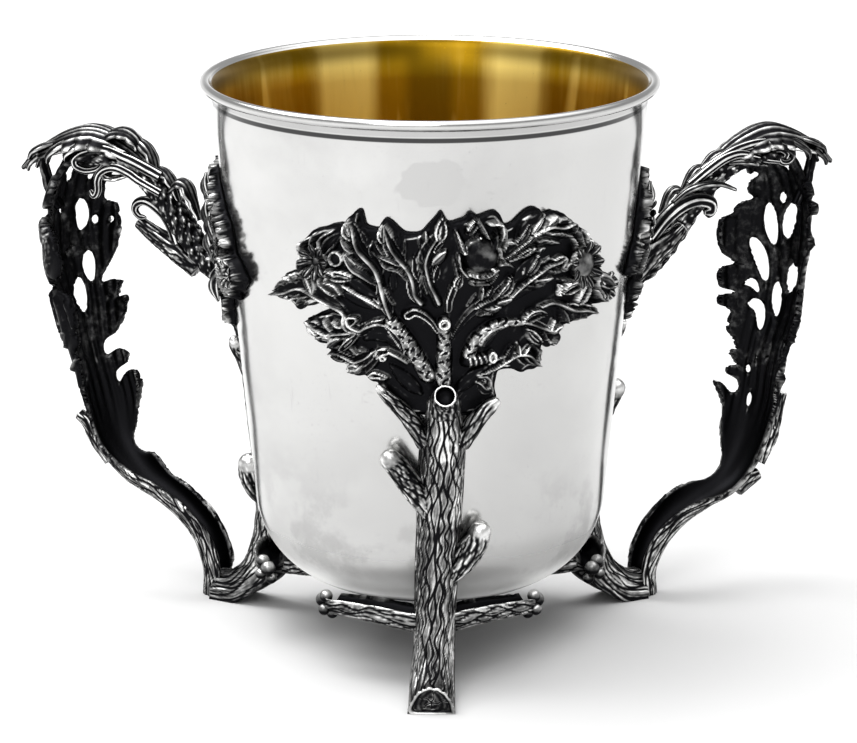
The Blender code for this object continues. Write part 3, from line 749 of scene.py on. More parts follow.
# Carved forms of the crown: kind, half width (or half widths at the two ends), rise, polish, and the middle
# line's points one after the other.
CROWN_FORMS = (
    # left flower and the buds beside it
    ("hollow", 1.6, 2.6, 0.3, -24.4, 107, -22.6, 109.6, -20.3, 112),
    ("rib", (0.2, 0.14), 3.2, 0.95, -25, 107.2, -25.5, 109, -24.8, 110.6, -22.3, 112.3),
    ("rib", (0.16, 0.12), 3, 0.85, -23.6, 107, -21.7, 109.3),
    ("fill", 0.42, 3.2, 1, -27.1, 107.5, -27.1, 109.6, -26.3, 111.6),
    ("fill", 0.55, 3.2, 1, -29.9, 107.9, -28.9, 109.2, -28, 110.1),
    ("rib", (0.28, 0.18), 3, 1, -31, 108.2, -30.6, 107, -30.3, 106),
    ("fill", 0.34, 3.2, 1, -30.4, 102, -30.6, 103.6, -30.3, 105.2),
    ("fill", 0.36, 3.4, 0.95, -29.6, 105.1, -28.2, 104.9), ("fill", 0.45, 3.2, 1, -30.2, 100.9, -28.7, 102.7),
    ("fill", 0.85, 3.4, 1, -28.6, 101.1, -28.3, 99.4, -27, 96.9),
    ("fill", 0.45, 3.4, 1, -26.9, 100.6, -26.4, 98.8, -26.8, 96.6),
    ("fill", 0.48, 3.2, 1, -25.6, 100.8, -25.2, 99, -23.5, 97.7, -21.9, 96.7),
    ("fill", 0.55, 3.3, 1, -24.9, 99.9, -22.6, 99.4, -21.2, 98.7, -20, 97),
    ("rib", (0.16, 0.12), 3.2, 0.85, -24.1, 101.6, -23.8, 100.1),
    ("hollow", 1.45, 3.4, 1, -23.3, 101.9, -20.4, 101.7, -17.3, 101.5),
    ("fill", 0.55, 3.5, 0.9, -23.2, 102.6, -22, 102, -21, 101.6),
    # big leaf at the far left
    ("black", 2.4, 2.2, 0.9, -20.5, 94.5, -29, 97.5, -38.8, 95),
    ("rib", (0.5, 0.26), 3.6, 1, -19.3, 92.5, -21, 93.7, -23.5, 94.7, -26, 95.9, -28, 97, -30, 97.5, -32, 97.1,
     -34.5, 95.8, -37, 95, -39.3, 94.6),
    ("rib", (0.12, 0.16), 3, 0.9, -38.8, 95.5, -37.5, 97.2, -36, 98.4, -34.8, 98.9),
    ("rib", (0.12, 0.14), 2.9, 0.8, -37.6, 96.5, -36.4, 97.5, -35.2, 97.7),
    ("rib", (0.14, 0.12), 3, 0.85, -35.3, 99.5, -34, 98.9, -32.3, 98.5),
    ("rib", (0.14, 0.12), 2.9, 0.7, -34.6, 100.2, -33, 100.3, -31.4, 98.6),
    ("fill", 0.34, 2.9, 1, -32.4, 94.9, -30.3, 96.2), ("fill", 0.62, 3, 1, -31.2, 93.6, -30, 94.9, -28.2, 95.9),
    ("fill", 0.72, 2.9, 1, -29, 93.9, -27.4, 94.8, -25.6, 95.3),
    # first upright leaf
    ("rib", (0.5, 0.7), 3.4, 0.92, -8.7, 92.7, -9.3, 94.2, -10, 96.4, -10.6, 98.7, -11, 100.8, -11.4, 102.4),
    ("rib", (0.72, 0.24), 3.6, 0.92, -11.2, 101.6, -12, 103.8, -13, 105.2, -14.5, 106.7, -15.8, 108.2,
     -16.6, 110, -17, 112, -17.3, 113.7, -18.1, 115.3),
    ("rib", (0.28, 0.18), 2.9, 0.6, -10.1, 99.8, -9.3, 97.5, -8.2, 95.7),
    ("fill", 1.15, 3.4, 0.95, -12, 100.6, -14.5, 102.6, -16.8, 103.9, -18.3, 105.7, -19.3, 107.9),
    ("fill", 0.62, 3.2, 0.85, -15.3, 104.8, -17.2, 106.3, -19.2, 107.9),
    ("fill", 0.95, 3.4, 1, -17, 107.9, -18.4, 109, -19.9, 111),
    ("hollow", 1, 3.6, 1, -17.6, 110.9, -18.8, 113, -18.3, 115.6),
    ("fill", 0.26, 3.4, 0.9, -18.5, 112.6, -18.7, 114), ("rib", (0.2, 0.1), 2.6, 0.7, -16.5, 115.3, -16.4, 117),
    ("hollow", 0.7, 2.7, 0.45, -14.1, 110, -14.6, 111.5, -15.3, 113.2),
    ("fill", 0.28, 2.8, 0.75, -12.9, 107, -13.4, 108.5, -13, 110.2),
    # long smooth leaf below it
    ("rib", (0.3, 0.34), 3.3, 0.95, -19.6, 99.6, -18, 98.6, -16, 97.5, -14, 96.5, -12, 95.4, -11.2, 94.9),
    ("fill", 1.35, 2.2, 0.42, -19.6, 97.6, -16.5, 96.4, -12.5, 94.4),
    ("black", 1.6, 2.5, 0.9, -18.6, 101.2, -15, 99, -11.5, 97.3),
    # second upright leaf
    ("rib", (0.62, 0.55), 3.4, 0.78, -2, 96.2, -3.2, 97.9, -3.6, 99.8, -3.9, 101.5, -4.6, 103.5, -5.6, 105.2),
    ("rib", (0.55, 0.22), 3.5, 0.88, -5.4, 104.9, -7, 106.9, -8.2, 108.6, -9.1, 110.4, -9.6, 112.5,
     -10.1, 114.8),
    ("hollow", 0.85, 3.4, 1, -10.3, 110.4, -10.8, 112.8, -10.1, 115.4),
    ("fill", 0.32, 3.3, 1, -9.9, 114.9, -9, 113.4, -8.1, 111.6),
    ("fill", 0.8, 3.3, 1, -6.4, 105.3, -8.4, 106.5, -11.2, 107.3),
    ("fill", 0.62, 3.2, 0.95, -4.9, 101.6, -6.8, 104, -9.6, 104.7, -11.1, 106.1),
    ("fill", 0.36, 3.2, 1, -10, 107.6, -11, 109, -12, 110.5),
    ("hollow", 0.72, 3, 0.75, -2.4, 101.6, -3.3, 104.4, -3.4, 108.2),
    ("rib", (0.22, 0.1), 2.4, 0.42, -5.5, 107, -5.5, 111.2),
    ("rib", (0.2, 0.1), 2.4, 0.4, -1.5, 106, -2.4, 111.6),
    ("hollow", 0.55, 2.4, 0.35, -7.1, 109.6, -6.9, 112.2),
    ("hollow", 0.9, 2.3, 0.3, -8, 99, -8.2, 101.6, -8, 104),
    # third upright leaf
    ("black", 1.5, 2.6, 0.9, 2.2, 111, 2.5, 114, 2.55, 117.3),
    ("rib", (0.62, 0.46), 3.3, 0.7, 1.9, 96.2, 1, 98.5, 0.1, 100.5, -0.5, 102.5),
    ("rib", (0.46, 0.22), 3.4, 0.85, -0.4, 102.2, -0.9, 104.8, -0.8, 106.8, -0.1, 109, 1, 111, 2, 112.7,
     2.4, 114.8),
    ("hollow", 1.5, 3.5, 1, 2, 111.3, 2.4, 113.6, 2.7, 116.5),
    ("hollow", 0.55, 3.2, 1, 0.9, 108.5, 2, 110.2, 3.4, 111.5),
    ("fill", 1.15, 3.3, 1, 0.5, 105.8, 1.8, 107.1, 3.5, 108.9),
    ("hollow", 0.8, 3.1, 0.8, 1, 101.5, 1.5, 103.6, 2.1, 105.8), ("fill", 0.4, 3, 1, -0.7, 110.8, -0.9, 113.4),
    ("rib", (0.18, 0.12), 2.5, 0.55, -0.6, 98.5, -1.6, 101.5, -1.8, 104),
    # stem and bud beside the pomegranate
    ("band", (0.7, 0.85), 3, 0.8, 4.1, 94.6, 4.3, 96.9, 5.3, 99.9),
    ("hollow", 1.1, 3.3, 1, 5.7, 99.8, 6.2, 101.4, 7, 103),
    # hooked leaf in the middle
    ("band", (0.45, 1.05), 3.6, 0.95, 1.6, 89.6, 0.2, 91.9, -1.6, 93.5, -3.4, 94.1, -4.7, 93.4),
    # pomegranate
    ("fill", 0.55, 4.6, 1, 7.5, 108, 6.9, 110.4, 5.8, 113.4),
    ("rib", (0.34, 0.24), 4.4, 0.85, 8.1, 102.7, 6.7, 104.8, 6.3, 107.8),
    ("rib", (0.16, 0.1), 3.2, 0.55, 6.1, 102.9, 5.3, 106.8),
    ("hollow", 0.95, 4.8, 0.9, 8.1, 113, 9.2, 114.8, 10.3, 116.6),
    ("fill", 0.62, 5.2, 1, 10, 116.6, 10.9, 114.6, 12.7, 111.6),
    ("rib", (0.16, 0.4), 4.9, 0.95, 12.8, 115, 14.4, 115.1, 15.7, 114.6),
    ("rib", (0.45, 0.3), 4.9, 1, 15.6, 114.8, 15.8, 112.8, 15.3, 111.2),
    ("rib", (0.2, 0.14), 4.6, 0.8, 16.5, 113.9, 16.4, 111.4), ("fill", 0.55, 4.9, 0.62, 14.3, 112.8, 13.9, 109),
    ("rib", (0.2, 0.22), 4.4, 1, 16.2, 108.4, 16.8, 109.9, 18.8, 110.2),
    ("rib", (0.26, 0.2), 4.5, 1, 15.2, 109.3, 15.5, 107.3, 16.2, 106.2),
    ("fill", 0.4, 4.3, 1, 14.8, 105, 16.8, 105.2, 18.4, 104.2),
    ("rib", (0.22, 0.3), 4.5, 0.8, 8.4, 103.1, 10.5, 102.4, 12.6, 102.5, 14.8, 104.2),
    ("rib", (0.2, 0.16), 3.9, 0.6, 8.8, 101.6, 11, 101.2, 13.2, 101.9, 14.8, 103.4),
    ("rib", (0.22, 0.16), 3.6, 0.65, 9, 100.7, 11.6, 100.4, 13.4, 100.8, 14.9, 102.8),
    # fern at the upper right
    ("black", 2.2, 2.4, 0.9, 20.5, 111.5, 24, 114.2, 25.6, 116.6),
    ("band", (0.3, 0.55), 3.3, 0.9, 16.4, 106, 18, 106.9, 20, 108.3, 22, 109.6, 24, 111.2, 26, 112.4),
    ("rib", (0.5, 0.26), 3.5, 1, 25.6, 112.2, 28, 112.8, 31, 112.2, 34, 112.9),
    ("hollow", 0.85, 3.1, 0.95, 19.4, 109.4, 21.4, 111.8, 22.6, 114.4),
    ("hollow", 1.2, 3.4, 1, 22.9, 111.1, 25, 113.3, 26.4, 116),
    ("fill", 1, 3.4, 1, 27, 113.4, 28.6, 114.2, 29.2, 115.6),
    ("fill", 0.9, 2.9, 0.62, 29.7, 113.5, 31.3, 113.9, 33.6, 113.3),
    ("fill", 0.6, 3.3, 1, 24.2, 109.7, 27, 109.4, 30.1, 108.7),
    ("fill", 0.55, 3.4, 1, 27.2, 111.2, 30.2, 110.8, 33.6, 109.7),
    ("rib", (0.18, 0.22), 3.1, 0.8, 17.4, 105.5, 20, 106.2, 22, 106.9, 24, 108.3),
    ("hollow", 0.75, 2.9, 0.8, 19.8, 106.2, 22.5, 107.4, 24.8, 108.4),
    ("fill", 0.55, 3, 1, 24.8, 107.2, 26.4, 108.2),
    # the two fronds below it
    ("hollow", 1, 3, 0.85, 21.9, 101.7, 23.8, 103.6, 25.4, 106.8),
    ("fill", 0.36, 2.8, 0.95, 21, 101.9, 21.4, 104), ("black", 1.8, 2.3, 0.9, 19, 100.5, 22, 103.5, 24, 106.5),
    ("rib", (0.3, 0.26), 3.3, 0.92, 18.3, 97, 20, 98.5, 22.5, 100.3, 25, 101.8, 27.5, 103.2, 30, 103.8,
     31.6, 104.6),
    ("rib", (0.16, 0.32), 3.3, 1, 28.8, 104.5, 30.6, 105.3, 31.7, 104.8, 31.5, 103.5, 30.7, 102.7),
    ("fill", 0.66, 3.1, 1, 23.4, 100, 26, 99.9, 28.5, 100.5),
    ("fill", 0.52, 3.1, 0.9, 27.3, 102.3, 29, 101.6, 30.8, 101.9),
    ("fill", 0.46, 2.9, 0.6, 22.3, 99.1, 24.2, 98.7, 26, 98.9),
    ("fill", 0.8, 2.4, 0.35, 18.6, 96.2, 21, 97.6, 23.4, 98.2),
    ("rib", (0.12, 0.14), 2.7, 0.55, 26, 104.2, 28, 105.3),
    ("rib", (0.16, 0.34), 3.2, 0.8, 9.8, 94.6, 12, 95.8, 14, 96.7, 15.2, 97.8, 16.2, 99.2, 17.5, 100.5),
    ("hollow", 1.15, 3.2, 0.95, 15.2, 97.2, 17.4, 99.2, 18.2, 102),
    ("hollow", 0.62, 3, 0.9, 12.8, 97.1, 13.5, 98.4, 14.2, 99.9),
    ("fill", 0.3, 2.9, 1, 11.4, 96.5, 11.7, 98.2, 11.9, 99.9),
    ("fill", 0.8, 3.1, 1, 14.6, 95.6, 16.4, 95.7, 18.4, 96.5),
    ("fill", 0.72, 3.1, 1, 12.4, 94.4, 14, 94, 15.9, 94.9),
    ("band", (0.3, 0.9), 2.7, 0.42, 4.8, 87.5, 6.4, 90.2, 8.2, 92.6, 10, 94.3),
    ("rib", (0.12, 0.12), 2.5, 0.42, 8.4, 95.3, 10.4, 98.1),
    ("fill", 0.4, 2.8, 0.7, 10.8, 92.8, 12.4, 93.2, 14, 92.9),
    # right flower
    ("fill", 0.48, 3.5, 1, 35.1, 110.6, 35.7, 108.6, 36.7, 106.6),
    ("rib", (0.24, 0.34), 3.5, 1, 37.7, 109.9, 37.5, 108.2, 38.3, 106.8, 39, 107.9),
    ("rib", (0.14, 0.16), 3.2, 0.85, 33.3, 109.8, 34.5, 108, 35.1, 105.9),
    ("fill", 0.34, 3.1, 1, 34.6, 112.8, 34.4, 111.6, 33.7, 110.3),
    ("hollow", 1.2, 2.8, 0.5, 36.2, 111, 36.9, 109.4, 37.1, 107.6),
    ("hollow", 1, 2.7, 0.45, 40, 107.2, 40.9, 105.8, 41.8, 104.6),
    ("fill", 0.44, 3.3, 1, 40.3, 107.3, 40.6, 105.8, 41.8, 104.5),
    ("rib", (0.22, 0.2), 3.3, 0.9, 41.2, 104.2, 42.3, 102.8, 41.9, 100.9),
    ("fill", 0.5, 3.1, 0.75, 31.6, 101.6, 32.8, 102.9, 34.2, 101.8),
    ("fill", 0.55, 3, 0.7, 30.4, 99.6, 32.6, 99, 34.4, 98.8),
    ("hollow", 1.5, 3.3, 0.95, 31.6, 96.2, 34, 97.4, 36.6, 97.6),
    ("rib", (0.3, 0.34), 3.4, 1, 32.4, 98.1, 34.9, 98.3, 36.2, 97.1, 35.6, 95.2),
    ("hollow", 1.4, 3.5, 1, 35.2, 92.8, 37.3, 95.4, 38.6, 98.6),
    ("rib", (0.16, 0.12), 3.2, 0.85, 37.8, 98.6, 39.4, 99.2, 41.2, 100.1),
    # rose bud at the right tip
    ("black", 2.6, 3.6, 0.9, 40.6, 97.4, 43.6, 96.6, 48.3, 95.1),
    ("black", 1.9, 3.4, 0.9, 40.8, 93.6, 43.6, 93.4, 46.8, 94.6),
    ("fill", 1.25, 4.4, 1, 40.6, 98.9, 43.3, 97.8, 46, 95.7),
    ("rib", (0.3, 0.16), 4.4, 1, 41.2, 96.6, 43.8, 95.4, 47.6, 95.1),
    ("rib", (0.26, 0.26), 4.3, 0.95, 40.4, 95.4, 41.6, 93.3, 43.2, 92.2, 44.6, 92.5),
    ("rib", (0.22, 0.2), 4.2, 0.8, 41.6, 95.2, 42.5, 93.9, 43.7, 93.3, 45, 94.4),
    ("rib", (0.2, 0.2), 4.4, 0.9, 40.4, 98.6, 40.3, 96.8, 40.9, 95.4),
    # leaf branch below the flower
    ("rib", (0.3, 0.6), 3.4, 0.85, 25.5, 93.6, 28, 94.2, 30, 93.7, 32, 92.7),
    ("rib", (0.6, 0.26), 3.4, 0.95, 31.6, 92.9, 34, 91.6, 36, 91.1, 38, 90.8, 40, 90, 41.4, 89.4),
    ("rib", (0.26, 0.2), 3.2, 0.95, 38.6, 91.9, 40.6, 91.2, 42.2, 89.3),
    ("black", 1.6, 2.4, 0.9, 31.5, 91, 36, 90, 41, 89.4),
    ("fill", 1, 3, 0.72, 30.6, 92.2, 31.6, 90.6, 32.9, 88.5), ("fill", 0.36, 2.9, 0.7, 33.8, 91, 34, 88.7),
    ("fill", 0.42, 2.8, 0.8, 36.2, 90.4, 35.7, 88.7), ("fill", 0.36, 2.8, 0.7, 37.6, 90.3, 38.3, 88.8),
    ("hollow", 1.35, 3.8, 1, 21.2, 90.6, 23.9, 92, 26.8, 91.9),
    ("rib", (0.5, 0.34), 3.4, 0.95, 21.2, 90.4, 23.4, 89.6, 25.4, 88.6, 27.5, 87.6, 29.3, 87),
    ("fill", 0.6, 3.3, 1, 28.6, 86.6, 29.9, 87.4, 31.3, 88.4),
    ("rib", (0.28, 0.24), 3.2, 1, 28.3, 87.6, 28.5, 88.6, 29.1, 89.9),
    ("fill", 0.55, 3, 0.65, 29.9, 86.9, 30.4, 85.4, 29.2, 83.6),
    ("hollow", 1.3, 3.3, 0.95, 22.3, 88.3, 23.9, 86.2, 26, 84.4),
    ("fill", 0.4, 3.3, 0.9, 23.8, 87.2, 24.9, 86.3), ("fill", 0.6, 3.1, 0.75, 26, 87.6, 26.6, 86, 27.8, 84.9),
    # lower right leaf
    ("rib", (0.16, 0.36), 3.2, 0.9, 10.5, 78.3, 13, 78.9, 15, 79.8, 17, 80.9, 19, 82, 20.6, 82.5),
    ("rib", (0.5, 0.28), 3.4, 1, 20.2, 82.5, 22, 82.3, 23.3, 81.5, 24.5, 80, 25.8, 79),
    ("rib", (0.34, 0.14), 3.3, 1, 20.3, 82.6, 20.2, 85.1),
    ("rib", (0.34, 0.16), 3.3, 1, 21.3, 82.5, 22.9, 84.4),
    ("fill", 0.46, 3.2, 1, 24, 84, 24.7, 82.8, 24.7, 81.3),
    ("rib", (0.18, 0.16), 3, 0.9, 25.8, 83, 25.6, 81, 25.2, 79.6),
    ("rib", (0.2, 0.16), 2.9, 0.8, 19.8, 81.6, 20.6, 80.6, 21.8, 79.7),
    ("rib", (0.24, 0.16), 2.9, 0.85, 22, 81.4, 22.8, 80.4, 24.2, 79.5),
    ("hollow", 0.85, 2.7, 0.42, 16.8, 80.9, 17.9, 82.9, 19, 85.2),
    ("rib", (0.18, 0.26), 3, 1, 10.2, 76.7, 11.3, 76.1, 12.4, 74.8, 13.4, 75, 13.7, 76.4, 12.8, 77.7, 10.9, 78),
    # lower left leaves
    ("rib", (0.42, 0.26), 3.3, 1, -18, 88.1, -20.5, 87.6, -22.5, 87.2, -24.3, 87, -26, 87.7, -27.8, 88.8,
     -28.8, 89.4),
    ("fill", 0.4, 3.2, 1, -24.3, 91, -23.9, 89.5, -22.2, 87.7),
    ("fill", 0.34, 3.1, 1, -22.3, 90.3, -21.2, 89.2, -19.4, 89.2),
    ("fill", 0.22, 2.9, 0.7, -21.6, 90.6, -20.6, 90),
    ("hollow", 0.62, 2.9, 0.75, -28, 89.4, -26.6, 89.3, -25.2, 88.6),
    ("fill", 0.66, 3, 1, -28.5, 88.5, -27.6, 87.3, -25.9, 86.5),
    ("fill", 0.46, 3, 1, -26.6, 85.8, -24.4, 86.2, -22.2, 86.1),
    ("fill", 0.95, 3.2, 1, -23.5, 83.9, -22, 85.4, -20.2, 86.6),
    ("hollow", 0.9, 3.3, 1, -20.6, 83.3, -18.3, 85.6, -15.7, 88.4),
    ("fill", 0.32, 3.1, 0.95, -19.8, 84.8, -19.2, 85.8, -18.4, 87),
    ("rib", (0.36, 0.28), 3.5, 1, -19.2, 92.5, -19.6, 91, -19.3, 89.5, -18.2, 88.5, -16.8, 88.3),
    ("rib", (0.3, 0.26), 3.6, 1, -18.9, 91.6, -17.4, 92, -16.3, 91.8, -16.9, 90.6, -17.6, 90.1),
    ("rib", (0.52, 0.4), 3.6, 1, -18.6, 91, -18, 89.7, -15.8, 88.8, -14.5, 89.6, -13, 90.4, -11, 90.9),
    ("fill", 0.5, 3.4, 1, -14.5, 90.2, -12.6, 91.3, -10.2, 92.2),
    ("rib", (0.32, 0.24), 3.3, 1, -12.8, 83.9, -14, 82.6, -15.5, 81.6, -17, 81, -18.5, 81.5, -20, 82.2,
     -21.5, 82.6, -23.4, 82.3),
    ("fill", 0.34, 3.1, 1, -18, 84.5, -16.2, 82.8), ("fill", 0.28, 3, 0.7, -16.5, 84.3, -14.7, 83.7),
    ("rib", (0.14, 0.12), 3, 0.8, -20.2, 83.4, -18.6, 82.7, -17.2, 82.3),
    ("fill", 0.42, 2.6, 0.45, -23.2, 83.6, -21.6, 84, -20, 83.5),
    ("fill", 0.4, 2.7, 0.55, -22.8, 81.7, -20.8, 80.9, -19, 80.7),
    ("fill", 0.66, 3, 1, -18.9, 79.2, -17.4, 79.9, -15.9, 80),
    ("fill", 0.62, 3, 1, -18.6, 78.4, -16.3, 78.9, -14.8, 80.8),
    ("rib", (0.14, 0.12), 3, 0.8, -14.3, 78.6, -12.8, 80.2, -11.4, 82.1),
    ("rib", (0.3, 0.24), 3.4, 1, -12, 83.2, -11.4, 84.6, -9.7, 84.8),
    ("rib", (0.34, 0.28), 3.5, 1, -11.7, 82.5, -10.8, 83.3, -9.2, 83.8),
    ("rib", (0.5, 0.42), 3.2, 0.85, -9.1, 84.1, -7, 83, -5, 81.7),
    ("rib", (0.4, 0.24), 3.2, 1, -13.7, 78, -12.6, 78.8, -11, 78.5, -9.5, 77.8),
    ("rib", (0.34, 0.2), 3, 1, -13.3, 77.5, -11.8, 77.6, -10.2, 77.3),
    ("black", 2.2, 2, 0.9, -14.5, 87, -12, 88.6, -9, 88, -6.5, 85),
    # branches of the crown
    ("net", (1.9, 1.5), 3.4, 0.95, -0.5, 78.6, -2.6, 82.5, -4.6, 86.4, -7.2, 90.2, -8.6, 91.6),
    ("rib", (0.24, 0.34), 3.6, 1, -5.6, 84, -6, 86.6, -7.6, 89, -9.4, 90.5, -11.2, 90.9),
    ("net", (1.8, 1.5), 3.5, 0.8, 3, 77, 3.1, 84, 3.2, 91),
    ("net", (1.6, 1), 3.4, 0.85, 8.6, 83.6, 9.8, 86.4, 11.6, 88.4, 14.4, 90.2, 18, 90.6, 21.4, 90.3),
    ("fill", 0.72, 3.8, 0.95, 10.9, 85.6, 12.8, 88.2, 14.6, 89.4, 17.2, 90.4),
    ("fill", 0.85, 2.5, 0.5, 12, 85.2, 13.4, 87, 14.9, 88.7),
    ("ladder", (1.5, 1.3), 3.8, 1, 8.2, 81.9, 10.8, 82.2, 13.4, 82.9),
    ("black", 1.6, 2.2, 0.9, 6, 74.5, 9, 77.5, 13, 80.5), ("black", 1.7, 2.2, 0.9, -2, 74, -6, 78, -9, 81),
)
# Round forms: middle, half sizes, rise, polish, brightness of the edge, power of the curve.
CROWN_DOMES = (
    ((-26.2, 104.8), (2.3, 2.9), 2.4, 0.17, 0.1, 0.3), ((37.2, 102.4), (3, 3.9), 3.4, 0.3, 0, 0.25),
    ((11.2, 107.4), (4.3, 4.7), 4.6, 0.14, 0, 0.5), ((-21.2, 106), (1.5, 1.7), 3.4, 0.1, 0.3, 0.5),
    # The small bright dot at (13.7, 104.2) on the pomegranate is a painted highlight.
    ((13.7, 104.2), (0.55, 0.5), 4.9, 1, 0, 0.5), ((10.8, 112.1), (0.45, 0.4), 4.9, 1, 0, 0.5),
    ((7.4, 108.6), (0.7, 0.6), 4.9, 0.9, 0, 0.5), ((-27.7, 101.9), (0.32, 0.32), 3.4, 1, 0, 0.5),
    ((-27.3, 101.2), (0.38, 0.38), 3.4, 1, 0, 0.5), ((-23.8, 102.6), (0.35, 0.35), 3.4, 1, 0, 0.5),
    ((42.2, 102.7), (0.5, 0.5), 3.6, 1, 0, 0.5), ((-34.7, 94.6), (0.34, 0.3), 2.8, 0.9, 0, 0.5),
    ((-36, 94.5), (0.36, 0.25), 2.8, 0.6, 0, 0.5), ((-33.7, 94), (0.3, 0.28), 2.8, 0.8, 0, 0.5),
    ((-33.3, 100.2), (0.4, 0.25), 3, 0.8, 0, 0.5), ((17.8, 101), (0.35, 0.35), 3.4, 0.9, 0, 0.5),
)
# Ring-shaped forms: middle, half sizes, half width, rise, polish.
CROWN_RINGS = (
    ((3.1, 91.4), (1.05, 1.1), 0.38, 4.2, 1), ((13.6, 82.9), (0.75, 1.15), 0.3, 4.4, 1),
    ((-10.7, 74.7), (0.55, 1), 0.26, 3.2, 0.95), ((-28.8, 89.3), (0.4, 0.4), 0.22, 3, 0.8),
    ((-10.4, 82.5), (0.55, 0.5), 0.24, 3.4, 0.95), ((-21.3, 105.9), (1.5, 1.6), 0.24, 3.3, 0.7),
)
CROWN_STEP = {"front": 0.26, "right": 0.44, "left": 0.44}     # size of a face of the relief
HANDLE_STEP = 0.56
# Petals stand round each flower: middle, half sizes, how many, how wide, polish. One petal runs through
# (share of the half size, rise, half width).
FLOWERS = (
    ((-26.2, 104.8), (2.5, 2.9), 8, 0.9, 0.6), ((37.2, 102.4), (3.2, 3.9), 9, 1, 0.6),
    ((44.4, 95.8), (2, 2.4), 5, 1.5, 0.9),
)
PETAL = ((0.3, 2.6, 0.4), (0.8, 3.4, 0.9), (1.15, 4.2, 1.05), (1.4, 4.5, 0.8), (1.5, 4.3, 0.35))
# Curled leaves at a crown's sides: which side, then (across, height, rise, half width) from root to tip.
CURLED_LEAVES = (
    (1, ((29, 108.5, 2.2, 0.7), (29.6, 111.2, 3, 1.5), (29.8, 114.2, 3.3, 1.3), (29.6, 116.8, 3, 0.3))),
    (1, ((30.5, 101.8, 2.4, 0.7), (31, 104.8, 3.4, 1.7), (31.2, 108, 3.8, 1.5), (31, 110.6, 3.6, 0.3))),
    (1, ((33, 96, 2.4, 0.7), (33.6, 98.8, 3.6, 1.8), (33.8, 101.6, 4.2, 1.5), (33.6, 104.2, 4, 0.3))),
    (1, ((31, 94, 2.4, 0.7), (30.6, 91, 3.6, 1.8), (30.2, 88, 4, 1.4), (29.8, 85.4, 3.6, 0.3))),
    (1, ((36.5, 101.5, 2.6, 0.6), (37.2, 104, 3.8, 1.6), (37.4, 106.6, 4.2, 1.3), (37.2, 108.8, 3.8, 0.3))),
    (-1, ((29, 105, 2.2, 0.7), (29.6, 107.7, 2.8, 1.4), (29.8, 110.7, 3, 1.2), (29.6, 113.3, 2.8, 0.3))),
    (-1, ((30.5, 98.3, 2.4, 0.7), (31, 101.3, 3.2, 1.5), (31.2, 104.5, 3.4, 1.3), (31, 107, 3.2, 0.3))),
    (-1, ((32, 93.5, 2.2, 0.7), (32.4, 95.8, 2.8, 1.3), (32.6, 98.2, 3, 1.1), (32.4, 100.4, 2.8, 0.3))),
)
BEADS = ((30.8, 98.0), (30.7, 97.3), (30.6, 96.6), (30.4, 95.9))
BEAD_SIZE = (0.42, 0.36)
CROWN_MAP = (-40.5, 68), (49.5, 119)
CROWN_MIDDLE = 3
CROWN_FOOT = 66
CROWN_PLATE = 1.1             # thickness of the ground between the forms


def crown_relief(step):
    relief = Relief(*CROWN_MAP, step)
    relief.polygon(smooth_path(pairs(CROWN_EDGE), 300, closed=True), CROWN_PLATE, 0.02)
    x, z = relief.x[None, :], relief.z[:, None]
    swell = 0.5 * np.sin(x * 0.55 + 1.3 * np.sin(z * 0.31)) * np.sin(z * 0.47 + 1.1 * np.sin(x * 0.23))
    relief.rise = np.where(relief.rise > 0, CROWN_PLATE + 0.55 * swell, 0)
    off = np.abs(x - CROWN_MIDDLE)
    # The ground has a fine grain that runs out from the crown's foot.
    turn, far = np.arctan2(x - CROWN_MIDDLE, z - CROWN_FOOT), np.hypot(x - CROWN_MIDDLE, z - CROWN_FOOT)
    grain = clamped(np.sin(turn * 46 + 1.5 * np.sin(far * 0.4) + 2.0 * np.sin(turn * 9))) ** 2
    ground = 0.03 + 0.07 * clamped(swell * 2) + 0.16 * grain * (0.5 + 0.5 * np.sin(far * 0.55 + turn * 7))
    relief.polish = np.where(relief.rise > 0, ground, 0)
    relief.soft = 0.5
    for kind, half, rise, shine, *line in CROWN_FORMS:
        length = steps_of(pairs(line)).sum()
        if kind == "rib" and length > 8:
            relief.stroke("blade", 0.16 * min(length, 18), 0.62 * rise, 0.62, pairs(line))
    for kind, half, rise, shine, *line in CROWN_FORMS:
        relief.stroke(kind, half, rise, shine, pairs(line))
    for dome in CROWN_DOMES:
        relief.dome(*dome)
    for ring in CROWN_RINGS:
        relief.ring(*ring)
    for bead in BEADS:
        relief.dome(bead, BEAD_SIZE, 3.2, 0.95)
    # The castings' rim is rubbed here and there, and the crown stands out further at both sides.
    broken = step_smooth(-0.4, 0.7, np.sin(x * 0.9 + 1.7 * np.sin(z * 0.6)) + 0 * z)
    rim = peak(relief.inside, 0.22, 0.5) * broken
    relief.polish = np.maximum(relief.polish, 0.7 * rim)
    relief.rise = relief.rise * (1 + 0.18 * step_smooth(22, 34, off))
    # Painted shade: on the side crowns, the forms about 16 to 35 mm off the middle are painted darker, where
    # they turn away round the cup.
    if step > FINE_STEP:
        relief.polish = relief.polish ** (1 + 0.2 * step_smooth(16, 25, off) * (1 - step_smooth(30, 35, off)))
    # Black oxide and painted shadow run out a little way on to the wall round the crown, as a dark margin.
    oxide_and_shadow_margin = 0.55 + 0.3 * np.sin(x * 0.8 + 2.0 * np.sin(z * 0.5))
    bare = relief.inside < 0
    relief.rise, relief.polish = np.where(bare, 0.4, relief.rise), np.where(bare, 0.03, relief.polish)
    relief.inside = relief.inside + oxide_and_shadow_margin
    return relief


